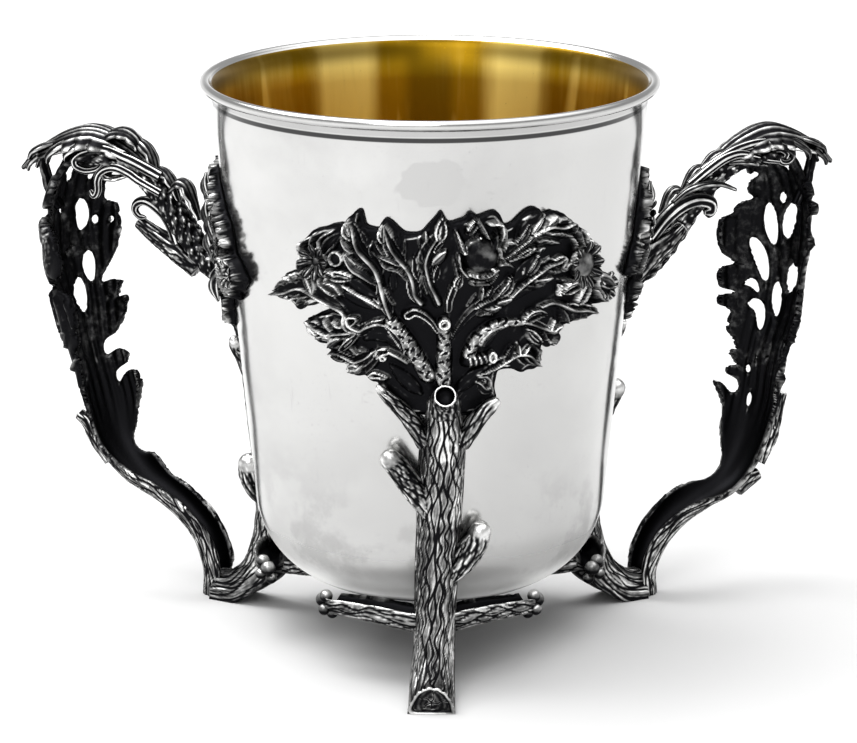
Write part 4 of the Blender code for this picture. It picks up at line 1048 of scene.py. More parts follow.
def add_crown(casting, step, curled):
    def front(across, height, rise, depth):
        return on_wall(across, height, np.maximum(rise - rounded(depth, 1.4) * rise / 2.4, 0.5))

    def back(across, height, depth):
        return on_wall(across, height, -0.15)

    add_relief(casting, crown_relief(step), front, back, lambda height, depth: 0.03 + 0 * depth)
    for (across, height), size, petals, wide, shine in FLOWERS:
        for k in range(petals):
            turn = 2 * math.pi * (k + 0.3 * scatter(k, 3)) / petals
            petal = [(across + r * size[0] * math.cos(turn), height + r * size[1] * math.sin(turn),
                      rise, wide * half) for r, rise, half in PETAL]
            add_wall_leaf(casting, petal, shine)
    if curled:
        for hand, leaf in CURLED_LEAVES:
            turned = [(CROWN_MIDDLE + hand * (across - CROWN_MIDDLE), *rest) for across, *rest in leaf]
            add_wall_leaf(casting, turned, 0.95, hand)


def add_wall_leaf(casting, stations, shine, on_edge=0):
    """Small leaf that curls away from the wall: (across, height, rise, half width) from root to tip."""
    across, height, rise, half = np.array(stations, float).T
    place = on_wall(across, height, rise)
    rows = np.column_stack([place[:, 0], -place[:, 1], place[:, 2], half,
                            0.25 * half, np.maximum(0.55 * half, 0.4)])
    middle = place[len(place) // 2]
    hint = (-on_edge * middle[1], on_edge * middle[0], 0) if on_edge else (middle[0], middle[1], 0)
    add_leaf(casting, rows, hint=hint, ridges=3, lobes=2, columns=18 if on_edge else 14, shine=shine)


# ---------------------------------------------------------------- the handles

# Middle line of the hollow branch, from the table up and over to the wall: reach, height, radius.
HANDLE_LINE = (
    (61.7, 0, 4.3), (61.6, 7.5, 4.4), (64.6, 15.6, 4.4), (70.5, 21.8, 4.5), (77.6, 26.6, 4.9),
    (84.6, 31.2, 5.7), (89.4, 38, 6.9), (92.2, 46, 8.2), (94.6, 55, 8.6), (97, 65, 9.4), (98.8, 75, 10.4),
    (99.5, 85, 11.4), (99.3, 95, 11.4), (97.8, 103, 9.2), (92.5, 108, 6.6), (85, 107, 5.2), (77.5, 101, 4.3),
    (70.5, 92.5, 3.9), (64.5, 86, 3.8), (58.6, 82.4, 3.8), (53.2, 81.6, 3.6),
)
DEGREE = 0.18                 # length on the flat map for one degree round the section
HANDLE_SHEET = 1.6
SLOT_WIDENING = 1.18
HANDLE_PLATE = 1.2            # how far the ground stands up on the map
HANDLE_ROUNDING = 0.7
HANDLE_MAP = (-26, 0), (26, 174)
LOG_TOP, PANEL_TOP = 58.0, 118.0
# On the flat map a point is (degrees round from the outer line, distance up the middle line). Degrees are
# positive on the side that faces the front tree and negative on the side away from it. Each handle has a far
# and a near edge, from the table up.
LEFT_FAR = (
    -84, 0, -100, 5, -135, 10, -135, 17, -130, 21, -122, 26, -113, 30, -98, 34.5, -104, 36.5, -106, 38.5,
    -111, 40.5, -107, 42.3, -92, 43.6, -78, 44.6, -67, 46.4, -69, 48.6, -88, 51.4, -98, 55, -108, 60.7,
    -118, 63, -117, 64.6, -106, 65.4, -94, 65.2, -80, 64, -70, 62.3, -64.6, 61.8, -64, 64, -66.6, 65.7,
    -74, 66.6, -92, 66.8, -97, 68.6, -95, 70, -90, 70.9, -76, 71.2, -60, 70, -53, 69.5, -52, 71.5, -54, 73,
    -59, 74, -80, 75, -88, 75.8, -85, 77, -96, 78, -98, 79, -103, 79.5, -112, 80.2, -110, 81.3, -104, 81.8,
    -118, 83, -119, 84.2, -112, 84.9, -100, 84.2, -91, 83.9, -94, 85.5, -102, 87, -101, 88.6, -88, 88.9,
    -76, 88.3, -68, 87.4, -65, 88, -70, 89.5, -80, 92, -88, 94.5, -93, 96.5, -97, 97.6, -94, 98.6, -99, 99.6,
    -97, 100.6, -93, 101.4, -102, 102.8, -103, 104, -97, 105.4, -99, 107, -98, 108.4, -92, 109.2, -82, 108.9,
    -77, 108, -76, 111, -82, 116, -88, 120, -88, 174,
)
LEFT_NEAR = (
    84, 0, 120, 5, 128, 10, 124, 15, 115, 20, 108, 26, 98, 31, 92, 36, 78, 42, 62, 46, 44, 50, 26, 54, 18, 58,
    24, 62, 40, 64, 52, 66, 60, 69, 70, 71.5, 58, 73.5, 76, 75, 88, 77, 76, 79, 90, 80.5, 92, 84, 88, 88,
    68, 89.6, 30, 89.2, 8, 90, 6, 91.6, 30, 92.2, 60, 92, 76, 94, 82, 97, 74, 100, 50, 101, 62, 102, 66, 104,
    54, 105.4, 20, 105.4, 10, 106.6, 14, 107.8, 20, 110, 24, 114, 40, 118, 66, 122, 86, 127, 88, 174,
)
# Openings: half width, and the middle line's points.
LEFT_SLOTS = (
    (1.45, -41, 109.2, -46, 104.5, -42, 100.2), (0.85, -65, 105.4, -60.5, 101.7), (0.9, -90, 105.2, -82, 102.6),
    (1.5, -53, 96.4, -51.5, 92, -55, 88), (1.75, -34, 90.2, -31.5, 86, -34.5, 81),
    (0.5, -34.5, 75, -32.8, 69.2), (0.45, -81, 84.9, -77, 83.6), (0.55, -31, 98, -25, 96.9),
    (0.65, -23, 97.1, -15, 95.2), (0.8, -55, 115.8, -48, 112.4), (0.95, -6, 79.4, -1, 76.4, 8, 74),
    (0.95, 8, 71.4, 4, 67, 12, 63.5), (0.8, 30, 69.5, 26, 65.6, 30, 62.2), (1.7, -4, 119, -18, 112.4),
    (0.7, -10, 109, -13, 104),
)
RIGHT_FAR = (
    -84, 0, -100, 4, -115, 10, -118, 15, -112, 20, -113, 25, -104, 30, -88, 34, -68, 38, -62, 41, -65, 43.6,
    -87, 48, -97, 50.7, -97, 56.4, -91, 58, -80, 59.4, -72, 58.8, -70, 60.5, -72, 62.5, -80, 63.1, -95, 63.7,
    -99, 64.6, -97, 65.8, -89, 66.3, -72, 65.8, -57, 64.6, -52, 65.4, -59, 67.5, -79, 70, -93, 72, -92, 73,
    -107, 75, -105, 76, -99, 76.2, -107, 77.5, -103, 79, -97, 79.6, -97, 81, -118, 81, -128, 82, -130, 83.4,
    -122, 84.4, -100, 84.6, -98, 85.6, -118, 85.6, -128, 87.5, -134, 89.3, -130, 90.9, -118, 92, -103, 92.3,
    -84, 91.9, -100, 93, -115, 95, -122, 96.3, -120, 97, -128, 98, -126, 99.4, -131, 101, -127, 102.6,
    -124, 104.4, -117, 105.6, -105, 105.4, -97, 105, -104, 106.4, -98, 108, -91, 109.2, -75, 109, -73, 110,
    -85, 110.4, -90, 112, -87, 113.8, -79, 114.8, -66, 114.2, -59, 113.2, -60, 115, -80, 117, -88, 120,
    -88, 174,
)
RIGHT_NEAR = (
    84, 0, 110, 5, 118, 10, 112, 16, 106, 20, 92, 26, 80, 31, 56, 35, 40, 39, 38, 43, 44, 48, 46, 54, 40, 58,
    26, 61.5, 16, 62.4, 20, 64, 12, 66, 16, 70, 22, 73, 18, 77, 26, 80, 16, 83, 8, 86, 4, 91, 8, 97, 2, 99.5,
    10, 102, 6, 106, 28, 107.6, 34, 110, 14, 110.6, 16, 113, 22, 116, 44, 120, 74, 124, 88, 128, 88, 174,
)
# Openings of the right handle.
RIGHT_SLOTS = (
    (1.6, -18, 108.4, -28, 103.6, -34, 98.2), (1.4, -57, 108, -54, 102, -48, 96.4),
    (1.5, -82, 99.6, -70, 95.4, -61, 91, -55, 87.4), (1.75, -16, 93.8, -14.6, 90, -14, 86.2),
    (1.35, -38, 89.4, -35, 84.6, -28, 79.8), (0.9, -91, 87, -80, 88.2, -70, 86.8, -64, 84.8),
    (1.3, -84, 82.4, -66, 82.8, -56, 80, -52, 75.4), (0.9, 1, 76, 6, 73, 8, 70.2), (0.42, -25, 73.8, -25, 69.6),
    (0.5, -48, 70.8, -46.5, 67.4), (0.75, -47, 60.8, -45, 55.4), (0.95, -32, 111, -40, 107),
    (2.3, -12, 121.5, -17, 114.5),
)
# Carved forms on the outside of both panels, then of each one, with rows like the crown's.
STEMS = (
    ("rib", (1.7, 1.2), 2.5, 0.62, -8, 50, -12, 62, -14, 74, -8, 84),
    ("rib", (1.2, 0.9), 2.6, 0.62, -8, 83, -10, 95, -2, 106, 2, 118),
    ("rib", (1, 0.8), 2.4, 0.55, -24, 52, -44, 64, -46, 76, -58, 88),
    ("rib", (0.9, 0.7), 2.4, 0.55, -58, 86, -64, 94, -60, 104, -62, 116),
    ("rib", (0.9, 0.6), 2.4, 0.55, -10, 93, -34, 99, -46, 97, -60, 100),
    ("fill", 2.2, 2.6, 0.7, -62, 76, -82, 79, -104, 83), ("fill", 1.8, 2.6, 0.7, -60, 78, -78, 84, -98, 88),
    ("fill", 2.4, 2.6, 0.7, -62, 91, -78, 97, -94, 103), ("fill", 1.8, 2.5, 0.7, -62, 98, -72, 104, -90, 108),
    ("fill", 1.6, 2.4, 0.6, -66, 66, -80, 69, -94, 69), ("fill", 2, 2.4, 0.6, -50, 50, -80, 55, -110, 62),
    ("rib", 0.22, 3, 1, -50, 52, -76, 56, -104, 61), ("rib", 0.2, 3, 1, -62, 77, -82, 80, -104, 83),
)
LEFT_FORMS = (
    ("net", (2.6, 3.6), 2.05, 0.55, 18, 92, 38, 95.5, 56, 100.5),
    ("black", 2.6, 2.4, 1.9, 8, 101.4, 34, 102.4, 62, 103.2),
    ("black", 1.9, 2.55, 1.9, 8, 104, 34, 104.2, 56, 104.4),
    ("fill", 1.5, 2.25, 0.55, 60, 79.5, 64, 84, 56, 88.6), ("fill", 1.4, 2.35, 0.55, 36, 79, 40, 84, 34, 88.8),
    ("fill", 1.2, 2.15, 0.4, 84, 80, 86, 84, 78, 87.5), ("hollow", 1.7, 2.25, 0.55, 24, 75, 48, 77.4, 68, 79),
    ("hollow", 1.6, 2.1, 0.5, 24, 78, 48, 80, 68, 81.2),
    ("rib", (0.8, 0.5), 2.3, 0.7, 30, 69, 50, 70, 66, 71.5),
    ("black", 2.2, 2.1, 1.8, 20, 108.5, 34, 111, 30, 115),
)
RIGHT_FORMS = (
    ("net", (1.3, 1.4), 2.1, 0.75, 8, 62, 10, 67, 6, 74, 14, 80, 4, 86, -2, 92, 0, 98),
    ("net", (1.3, 1.2), 2.2, 0.75, -4, 96, -2, 101, -4, 106, 8, 112),
    ("fill", 1.5, 2.25, 0.6, 14, 98.5, 2, 100, -8, 102), ("fill", 1.5, 2.35, 0.6, 4, 106.6, 22, 108, 36, 109.6),
    ("fill", 1.4, 2.3, 0.6, 6, 110.4, 20, 112.4, 38, 114), ("fill", 1.6, 2.2, 0.6, 4, 63, 14, 65.4, 26, 66),
    ("hollow", 1.4, 2.2, 0.7, 2, 78.4, 14, 80.4, 28, 80.4),
    ("hollow", 1.2, 2.1, 0.7, 4, 75.6, 14, 76.6, 26, 77),
)
# Leaf over the top of the handle: side, reach, height, half width, droop of its edges, thickness.
CAP_LEAF = (
    (0, 78.5, 106, 3, 1, 1.8), (0, 85, 112, 5.2, 2.2, 2.2), (0, 92, 115.6, 6.8, 3.4, 2.4),
    (0, 98, 116.5, 7.6, 4.2, 2.4), (0, 104.5, 114.6, 6.8, 4, 2.2), (0, 110.4, 111.4, 4.6, 2.8, 2),
    (0, 115.2, 108.2, 2.5, 1.4, 1.7), (0, 119.6, 104.2, 0.7, 0.2, 1.1),
)
# Dark stalk from the top of the panel to the tip of the cap leaf, beside an opening.
CAP_STALK = (
    (0, 108, 95, 1.6, 0.4, 1.6), (0, 110.6, 99.4, 2, 0.6, 1.7), (0, 112, 103, 1.9, 0.6, 1.6),
    (0, 112.8, 106.4, 1.5, 0.5, 1.4), (0, 112.6, 109.4, 0.9, 0.3, 1.2),
)
# Lobes along the cap leaf's lower edges, on both sides.
CAP_LOBES = (
    ((3.6, 94, 114.6, 1, 0.2, 1), (5.4, 98.4, 113.2, 2, 0.7, 1.3), (6.2, 101.6, 111, 1.7, 0.5, 1.3),
     (5.6, 102.6, 109, 0.6, 0.1, 1)),
    ((3.2, 100, 114.6, 1, 0.2, 1), (4.6, 104.6, 112.4, 2, 0.7, 1.3), (5.2, 107.8, 109.8, 1.7, 0.5, 1.3),
     (4.6, 108.8, 107.6, 0.6, 0.1, 1)),
    ((2.2, 107, 112.8, 0.9, 0.2, 1), (3.2, 111, 111.4, 1.5, 0.6, 1.2), (3.5, 114, 109.6, 1.2, 0.4, 1.2),
     (3, 115.6, 107.6, 0.5, 0.1, 0.9)),
    ((1.2, 111, 110.2, 0.8, 0.2, 1), (2, 114.2, 107.8, 1.3, 0.5, 1.1), (2.2, 116.2, 105.6, 0.9, 0.3, 1),
     (1.8, 116.8, 104.2, 0.4, 0.1, 0.8)),
)
# Curled leaves along the arm: (side, reach, height, half width, droop, thickness) from root to tip.
LEFT_LEAVES = (
    ((1.5, 94, 113.6, 2.4, 0.6, 1.2), (1.5, 90.4, 116.6, 3.4, 1.2, 1.4), (1.5, 86.6, 117.4, 3.4, 1.4, 1.4),
     (1.5, 83.6, 115.6, 2.8, 1, 1.4), (1.5, 82.8, 112.8, 1.4, 0.4, 1.2)),
    ((0.5, 86, 115.6, 2.2, 0.5, 1.4), (0.5, 81.8, 114.2, 2.5, 0.8, 1.5), (0.5, 79.4, 111.4, 2.4, 0.8, 1.5),
     (0.5, 78.7, 107.8, 2, 0.6, 1.5), (0.5, 77.6, 103.6, 1.4, 0.4, 1.3)),
    ((0, 81, 106.4, 1.6, 0.4, 1.2), (0, 77.6, 108.2, 2.4, 0.9, 1.3), (0, 74.8, 106.8, 2.4, 0.9, 1.3),
     (0, 73.2, 103.4, 1.6, 0.4, 1.2), (0, 71.8, 99.4, 0.8, 0.2, 1)),
    ((0, 75, 102.8, 1.8, 0.4, 1.2), (0, 71.9, 105.8, 2.8, 1.1, 1.3), (0, 69.4, 105.2, 2.8, 1.1, 1.3),
     (0, 67.9, 101.8, 2.2, 0.8, 1.3), (0, 66.2, 96.6, 1, 0.3, 1)),
    ((4.2, 92.6, 106.4, 1, 0.2, 0.9), (4.4, 90, 105.8, 2, 0.5, 1), (4.4, 87.2, 106, 1.9, 0.5, 1),
     (4.2, 84.4, 106.8, 0.6, 0.1, 0.8)),
)
RIGHT_LEAVES = (
    ((0.5, 88, 111.4, 1.8, 0.5, 1.2), (0.5, 84, 112.2, 2.1, 0.8, 1.3), (0.5, 80.6, 111.4, 1.8, 0.6, 1.2),
     (0.5, 77.6, 108.6, 0.8, 0.2, 1)),
    ((0.5, 80.4, 107.6, 1.8, 0.5, 1.2), (0.5, 77, 109, 2.1, 0.8, 1.3), (0.5, 74.4, 107.4, 1.7, 0.6, 1.2),
     (0.5, 72.2, 103.6, 0.8, 0.2, 1)),
    ((0.5, 73, 102.4, 1.7, 0.5, 1.2), (0.5, 70.2, 104.4, 2, 0.8, 1.3), (0.5, 67.8, 103, 1.7, 0.6, 1.2),
     (0.5, 65.8, 98.4, 0.8, 0.2, 1)),
    ((3.6, 67.4, 101.6, 0.9, 0.2, 1), (4.2, 71.4, 104.6, 1.7, 0.5, 1.1), (4.4, 76.4, 105.8, 2.1, 0.7, 1.1),
     (4.4, 81, 105, 1.9, 0.5, 1), (4.2, 85.8, 103, 0.7, 0.1, 0.8)),
    ((4.2, 83.2, 110, 0.8, 0.2, 1), (4.5, 87, 110.2, 1.9, 0.5, 1), (4.5, 91.4, 109.4, 2, 0.5, 1),
     (4.2, 95, 108.2, 0.7, 0.1, 0.8)),
)
# Scrolls: radius at the root and at the tip, and points (side, reach, height).
LEFT_SCROLLS = (
    (1.5, 0.8, ((2.6, 76, 107.2), (4, 82.3, 110.2), (4.2, 86, 111.3), (4.4, 89.9, 112.4), (4.6, 93.7, 112.5),
     (4.8, 97.6, 111.4), (4.8, 100.2, 109.4), (4.6, 99.9, 107.5), (4.4, 97.3, 106.7), (4.2, 94.2, 107.3),
     (4.2, 92.4, 108.6))),
    (1.1, 0.9, ((3.4, 75.6, 103.2), (4.6, 80.9, 105.9), (4.8, 83.7, 107.4), (5, 87.1, 108.5), (5, 90, 108.2),
     (4.9, 92.4, 106.7), (4.7, 93.5, 104.6), (4.6, 93.6, 102.1), (4.6, 94.6, 100.6), (4.6, 95.8, 101.8))),
    (1.9, 0.7, ((1, 71.8, 90.4), (1.2, 73.1, 94), (1.4, 75, 97), (1.5, 77.8, 99.1), (1.5, 81.1, 100.2),
     (1.3, 83.8, 99.3), (1.1, 84.8, 97.4), (1, 83.6, 95.8), (0.9, 81.6, 95.6))),
)
RIGHT_SCROLLS = (
    (1.2, 0.8, ((2.6, 77, 108.6), (3.8, 81, 111.2), (4, 86, 113.2), (4.2, 92, 114.2), (4.4, 98, 113.7),
     (4.5, 101.6, 112.2), (4.4, 102.7, 110), (4.3, 101.4, 108.5), (4.2, 99.3, 108.8), (4.2, 98.9, 110.4))),
    (1.3, 0.7, ((3, 73, 105.4), (4.2, 77.6, 109), (4.6, 82, 111.4), (4.8, 86.2, 112.2), (4.8, 90.5, 111.2),
     (4.7, 94.4, 109.9), (4.4, 99, 108.9))),
    (1, 0.9, ((4, 96.4, 112.2), (5, 98.8, 112.4), (5, 100.6, 111), (4.8, 100.2, 109.6))),
    (1.7, 1.7, ((2, 62.2, 93), (3, 65.4, 97.4), (3.6, 69.2, 100.4), (3.8, 72.9, 101.6), (3.8, 76.2, 101.4),
     (3.6, 78.6, 100.2), (3.4, 78.8, 98.4), (3.3, 77.2, 98))),
)
# Cut stubs: how they end, and points (side, reach, height, radius). The first runs into the crown.
CROWN_STUB = ("round", ((0, 58.5, 82.4, 2.9), (0, 54, 81.7, 3.1), (0, 50, 81.3, 3.6)))
LEFT_STUBS = (
    CROWN_STUB,
    ("ring", ((0, 94.4, 30.3, 1.9), (0, 98.5, 35.6, 2.2), (0, 101, 39.4, 1.9), (0, 103.6, 41.2, 1.6))),
    ("sawn", ((0.5, 66.4, 84.6, 3), (0.8, 73.9, 88.9, 2.8), (0.8, 78.6, 91.4, 2.4), (0.8, 83.6, 94.2, 1.7))),
)
RIGHT_STUBS = (
    CROWN_STUB,
    ("ring", ((0, 96.7, 29.8, 2.4), (0, 100.1, 36.1, 2.7), (0, 101.9, 42.3, 2.4), (0, 103.6, 47, 1.9))),
    ("ring", ((0, 90.6, 23.2, 2.2), (0, 93.4, 25, 2.3), (0.3, 96.8, 26.4, 1.7))),
    ("ring", ((1.5, 57.5, 84.4, 3.2), (2.6, 63.1, 89.4, 3.1), (3, 66.8, 91.8, 2.6), (3.2, 70.6, 94.8, 1.8))),
)
# Shifts of the middle line's points (reach, height, radius) at the elbow.
LEFT_ELBOW = {5: (0.3, -0.3, 0.3), 6: (0.6, -0.4, 0.6), 7: (0.3, 0, 0.4)}
RIGHT_ELBOW = {2: (0.6, -0.4, 0.4), 3: (0.8, -0.8, 0.7), 4: (1.2, -1.4, 0.9),
               5: (1.6, -1.8, 1.2), 6: (1.2, -0.8, 0.9), 7: (0.5, 0, 0.4)}
Handle = namedtuple("Handle", "turn near pull flare far_edge near_edge slots forms leaves scrolls stubs elbow")
HANDLES = {
    "left": Handle(-120.0, 1, 0.0, 0.0, LEFT_FAR, LEFT_NEAR, LEFT_SLOTS, LEFT_FORMS, LEFT_LEAVES, LEFT_SCROLLS,
                   LEFT_STUBS, LEFT_ELBOW),
    "right": Handle(120.0, -1, 0.07, 3.0, RIGHT_FAR, RIGHT_NEAR, RIGHT_SLOTS, RIGHT_FORMS, RIGHT_LEAVES,
                    RIGHT_SCROLLS, RIGHT_STUBS, RIGHT_ELBOW),
}
CAP_REACH = 92                # from here outwards a cap with some pull is drawn in and up


def drawn_in(stations, handle):
    """A cap leaf's stations, drawn in and up by that handle's pull."""
    moved = []
    for side, reach, height, *rest in stations:
        shift = handle.pull * max(reach - CAP_REACH, 0)
        moved.append((side, reach - shift, height + shift, *rest))
    return moved


class BentBranch:
    """The handle's middle line, and places on the round section that it carries."""

    def __init__(self, handle):
        self.flare = handle.flare
        rows = np.array(HANDLE_LINE, float)
        rows = np.column_stack([rows, np.concatenate([[0], np.cumsum(steps_of(rows[:, :2]))])])
        for index, shift in handle.elbow.items():
            rows[index, :3] += shift
        self.path = smooth_path(rows, 500, lead=2)
        self.along = tangents(self.path[:, :2])

    def radius(self, s):
        return np.interp(s, self.path[:, 3], self.path[:, 2])

    def place(self, x, s, lift):
        at = self.path[:, 3]
        lines = (*self.path[:, :2].T, self.along[:, 1], -self.along[:, 0])
        reach, height, up, out = (np.interp(s, at, line) for line in lines)
        # The panel's lobes on the positive side bend outwards instead of following the round section.
        panel = step_smooth(56, 64, s) * step_smooth(114, 106, s)
        bend = self.flare * panel * step_smooth(70, 128, x / DEGREE)
        angle, size = np.radians(x / DEGREE), self.radius(s) + lift + bend
        push = size * np.cos(angle)
        return local(size * np.sin(angle), reach + up * push, np.maximum(height + out * push, 0))


def handle_relief(branch, handle):
    def flat(line):
        return pairs(line) * (handle.near * DEGREE, 1)

    relief = Relief(*HANDLE_MAP, HANDLE_STEP)
    edge = np.vstack([flat(handle.far_edge), flat(handle.near_edge)[::-1]])
    relief.polygon(smooth_path(edge, 520, closed=True), HANDLE_PLATE, 0.1)
    for kind, half, rise, shine, *line in STEMS + handle.forms:
        relief.stroke(kind, half, rise, shine, flat(line))
    for half, *line in handle.slots:
        relief.slot(SLOT_WIDENING * half, flat(line))
    x, s = np.meshgrid(relief.x, relief.z)
    around = np.radians(x / DEGREE) * branch.radius(s)
    groove, shine = bark(around + 0.8 * np.sin(s / 9.0), s, HANDLE_SEED, 1.1, 14.0)
    log = step_smooth(LOG_TOP + 4, LOG_TOP - 6, s)
    net, net_shine = arm_bark(around, s)
    arm = step_smooth(PANEL_TOP - 6, PANEL_TOP + 4, s)
    relief.rise = relief.rise - log * (0.35 * groove + relief.rise - HANDLE_PLATE) + arm * net
    relief.polish = relief.polish * (1 - log) * (1 - arm) + log * (1.15 * shine) + arm * net_shine
    return relief


def arm_bark(across, along):
    """Knobbly young bark: light flecks on black."""
    lumps = np.sin(along * 1.5 + 1.2 * np.sin(across * 0.9)) * np.sin(across * 1.6 + 1.4 * np.sin(along * 0.6))
    cells = np.sin(along * 2.9 + 2.0 * np.sin(across * 1.7)) * np.sin(across * 2.3 + 1.1 * np.sin(along * 1.3))
    flecks = step_smooth(0.45, 0.95, cells)
    lines = peak(np.sin(across * 1.1 + 0.8 * np.sin(along * 0.35)), 0.14)
    return (0.45 * lumps + 0.25 * flecks,
            clamped(0.16 + 0.16 * lumps + 0.5 * flecks + 0.35 * lines * (lumps > 0)))


def add_handle_sheet(casting, handle):
    branch = BentBranch(handle)

    def front(x, s, rise, depth):
        return branch.place(x, s, rise - HANDLE_PLATE - rounded(depth, HANDLE_ROUNDING))

    def back(x, s, depth):
        folds = 0.22 * np.sin(x * 1.9 + 0.9 * np.sin(s * 0.24)) * step_smooth(50, 64, s)
        return branch.place(x, s, folds - HANDLE_SHEET + rounded(depth, HANDLE_ROUNDING))

    def back_shine(s, depth):
        lip = 0.22 * peak(depth, 0.45) * step_smooth(70, 60, s)
        return 0.03 + 0.14 * step_smooth(56, 72, s) + lip + 0.08 * peak(depth, 0.4)

    add_relief(casting, handle_relief(branch, handle), front, back, back_shine)


def add_leaf(casting, stations, near=1, hint=(0, 0, 1), ridges=7, lobes=5, columns=36, step=0.45, shine=1.0):
    """Fluted leaf with a lobed edge and two closed faces, from root to tip."""
    rows = np.array(stations, float)
    rows[:, 0] *= near
    centre = np.column_stack([local(rows[:, 0], rows[:, 1], rows[:, 2]), rows[:, 3:]])
    rough = smooth_path(centre, 60, lead=3)
    total = steps_of(rough[:, :3]).sum()
    path = spread(rough, max(int(total / step), 8), 3)
    _, side, up = frames(path[:, :3], hint)
    u = np.linspace(-1, 1, columns)
    body, shines = [], []
    for k, t in enumerate(np.linspace(0, 1, len(path))):
        half, droop, thick = np.maximum(path[k, 3:6], 0.15)
        lobe = 1 + 0.34 * (abs(math.sin(math.pi * (lobes * t + 0.25))) - 0.6) * np.abs(u) ** 3
        flow = u * (1 + 0.3 * (1 - t)) + 0.15 * math.sin(2.4 * t)
        ridge = 0.5 + 0.5 * np.cos(math.pi * ridges * flow + 1.3 * np.sin(5 * u + 4 * t)
                                   + 0.8 * math.sin(9 * t))
        ridge = ridge * (0.72 + 0.28 * np.sin(2.2 * ridges * u + 5 * t))
        fall = -droop * np.abs(u) ** 1.7
        relief = min(0.45, 0.16 * half) * ridge * (1 - u ** 8)
        top = fall + relief + 0.5 * thick * np.sqrt(1 - 0.98 * u ** 2)
        low = fall - 0.5 * thick * np.sqrt(1 - 0.98 * u ** 2)
        across = np.concatenate([u * half * lobe, (u * half * lobe)[::-1][1:-1]])
        rise = np.concatenate([top, low[::-1][1:-1]])
        body.append(path[k, :3] + across[:, None] * side[k] + rise[:, None] * up[k])
        bright = shine * clamped(0.16 + 0.9 * ridge ** 2 + 0.4 * peak(np.abs(u), 0.06, 0.97))
        shines.append(np.concatenate([bright, np.full(columns - 2, 0.05)]))
    casting.loops(np.array(body), np.array(shines))


# ---------------------------------------------------------------- node helpers

def feed(tree, node, inputs):
    """Sets a node's inputs, by name or number, to values or to the outputs that drive them."""
    for socket, value in inputs.items():
        if isinstance(value, bpy.types.NodeSocket):
            tree.links.new(value, node.inputs[socket])
        else:
            node.inputs[socket].default_value = value


def node_value(tree, kind, inputs, output=0, **settings):
    """Makes a node and gives one of its outputs."""
    node = tree.nodes.new(kind)
    for name, value in settings.items():
        setattr(node, name, value)
    feed(tree, node, inputs)
    return node.outputs[output]


def new_group(name, kind, inputs, outputs):
    """Node group with named sockets (name, type, default): its tree, input values and output node."""
    tree = bpy.data.node_groups.new(name, kind)
    for direction, sockets in (("INPUT", inputs), ("OUTPUT", outputs)):
        for socket_name, socket_type, default in sockets:
            socket = tree.interface.new_socket(
                socket_name, in_out=direction, socket_type=f"NodeSocket{socket_type}")
            if default is not None:
                socket.default_value = default
    return tree, tree.nodes.new("NodeGroupInput").outputs, tree.nodes.new("NodeGroupOutput")


def math_node(tree, operation, *values, clamp=False):
    return node_value(tree, "ShaderNodeMath", dict(enumerate(values)), operation=operation, use_clamp=clamp)


def noise_node(tree, vector, scale, detail=3.0, rough=0.5):
    inputs = {"Vector": vector, "Scale": scale, "Detail": detail, "Roughness": rough}
    return node_value(tree, "ShaderNodeTexNoise", inputs)


def stretched(tree, vector, scale, turn=(0, 0, 0)):
    return node_value(tree, "ShaderNodeMapping", {"Vector": vector, "Scale": scale, "Rotation": turn})


def colour_mix(tree, share, first, second):
    sockets = {0: share}
    for number, value in ((6, first), (7, second)):
        sockets[number] = value if isinstance(value, bpy.types.NodeSocket) else (*value[:3], 1.0)
    return node_value(tree, "ShaderNodeMix", sockets, 2, data_type="RGBA")


def ramp(tree, value, low, high, to_low=0.0, to_high=1.0):
    inputs = {"Value": value, "From Min": low, "From Max": high, "To Min": to_low, "To Max": to_high}
    return node_value(tree, "ShaderNodeMapRange", inputs, interpolation_type="SMOOTHSTEP")


def handled_silver():
    """Group: soft smudges and fine rubbing marks of silver that has been used and wiped."""
    old = bpy.data.node_groups.get("handled_silver")
    if old:
        return old
    tree, source, sink = new_group(
        "handled_silver", "ShaderNodeTree",
        [("Vector", "Vector", None), ("Smudge Size", "Float", 20.0), ("Seed", "Float", 0.0)],
        [("Smudge", "Float", None), ("Rubbing", "Float", None), ("Pitting", "Float", None)],
    )
    vector = source["Vector"]
    cloud = node_value(tree, "ShaderNodeTexNoise", {
        "Vector": vector, "Scale": source["Smudge Size"], "W": source["Seed"],
        "Detail": 5.0, "Roughness": 0.58, "Distortion": 0.4,
    }, noise_dimensions="4D")
    marks = None
    for turn, scale in (
        ((0.3, 0.5, 0.2), (900, 900, 30)), ((1.1, -0.4, 0.7), (1100, 40, 1100)),
        ((-0.7, 0.2, 1.3), (60, 1300, 900)),
    ):
        line = ramp(tree, noise_node(tree, stretched(tree, vector, scale, turn), 1.0, 1.0), 0.66, 0.78)
        marks = line if marks is None else math_node(tree, "MAXIMUM", marks, line)
    where = ramp(tree, noise_node(tree, vector, 55.0, 2.0), 0.45, 0.65)
    feed(tree, sink, {
        "Smudge": ramp(tree, cloud, 0.42, 0.72),
        "Rubbing": math_node(tree, "MULTIPLY", marks, where),
        "Pitting": ramp(tree, noise_node(tree, vector, 1500.0, 2.0), 0.70, 0.78),
    })
    return tree


def new_material(name):
    """Metal, with its tree, its shader and the object's coordinates."""
    made = bpy.data.materials.new(name)
    made.use_nodes = True
    tree = made.node_tree
    shader = tree.nodes["Principled BSDF"]
    shader.inputs["Metallic"].default_value = 1.0
    return made, tree, shader, node_value(tree, "ShaderNodeTexCoord", {}, "Object")


def wear_of(tree, vector, size, seed):
    """Smudge, rubbing and pitting of handled silver."""
    node = tree.nodes.new("ShaderNodeGroup")
    node.node_tree = handled_silver()
    feed(tree, node, {"Vector": vector, "Smudge Size": size, "Seed": seed})
    return node.outputs


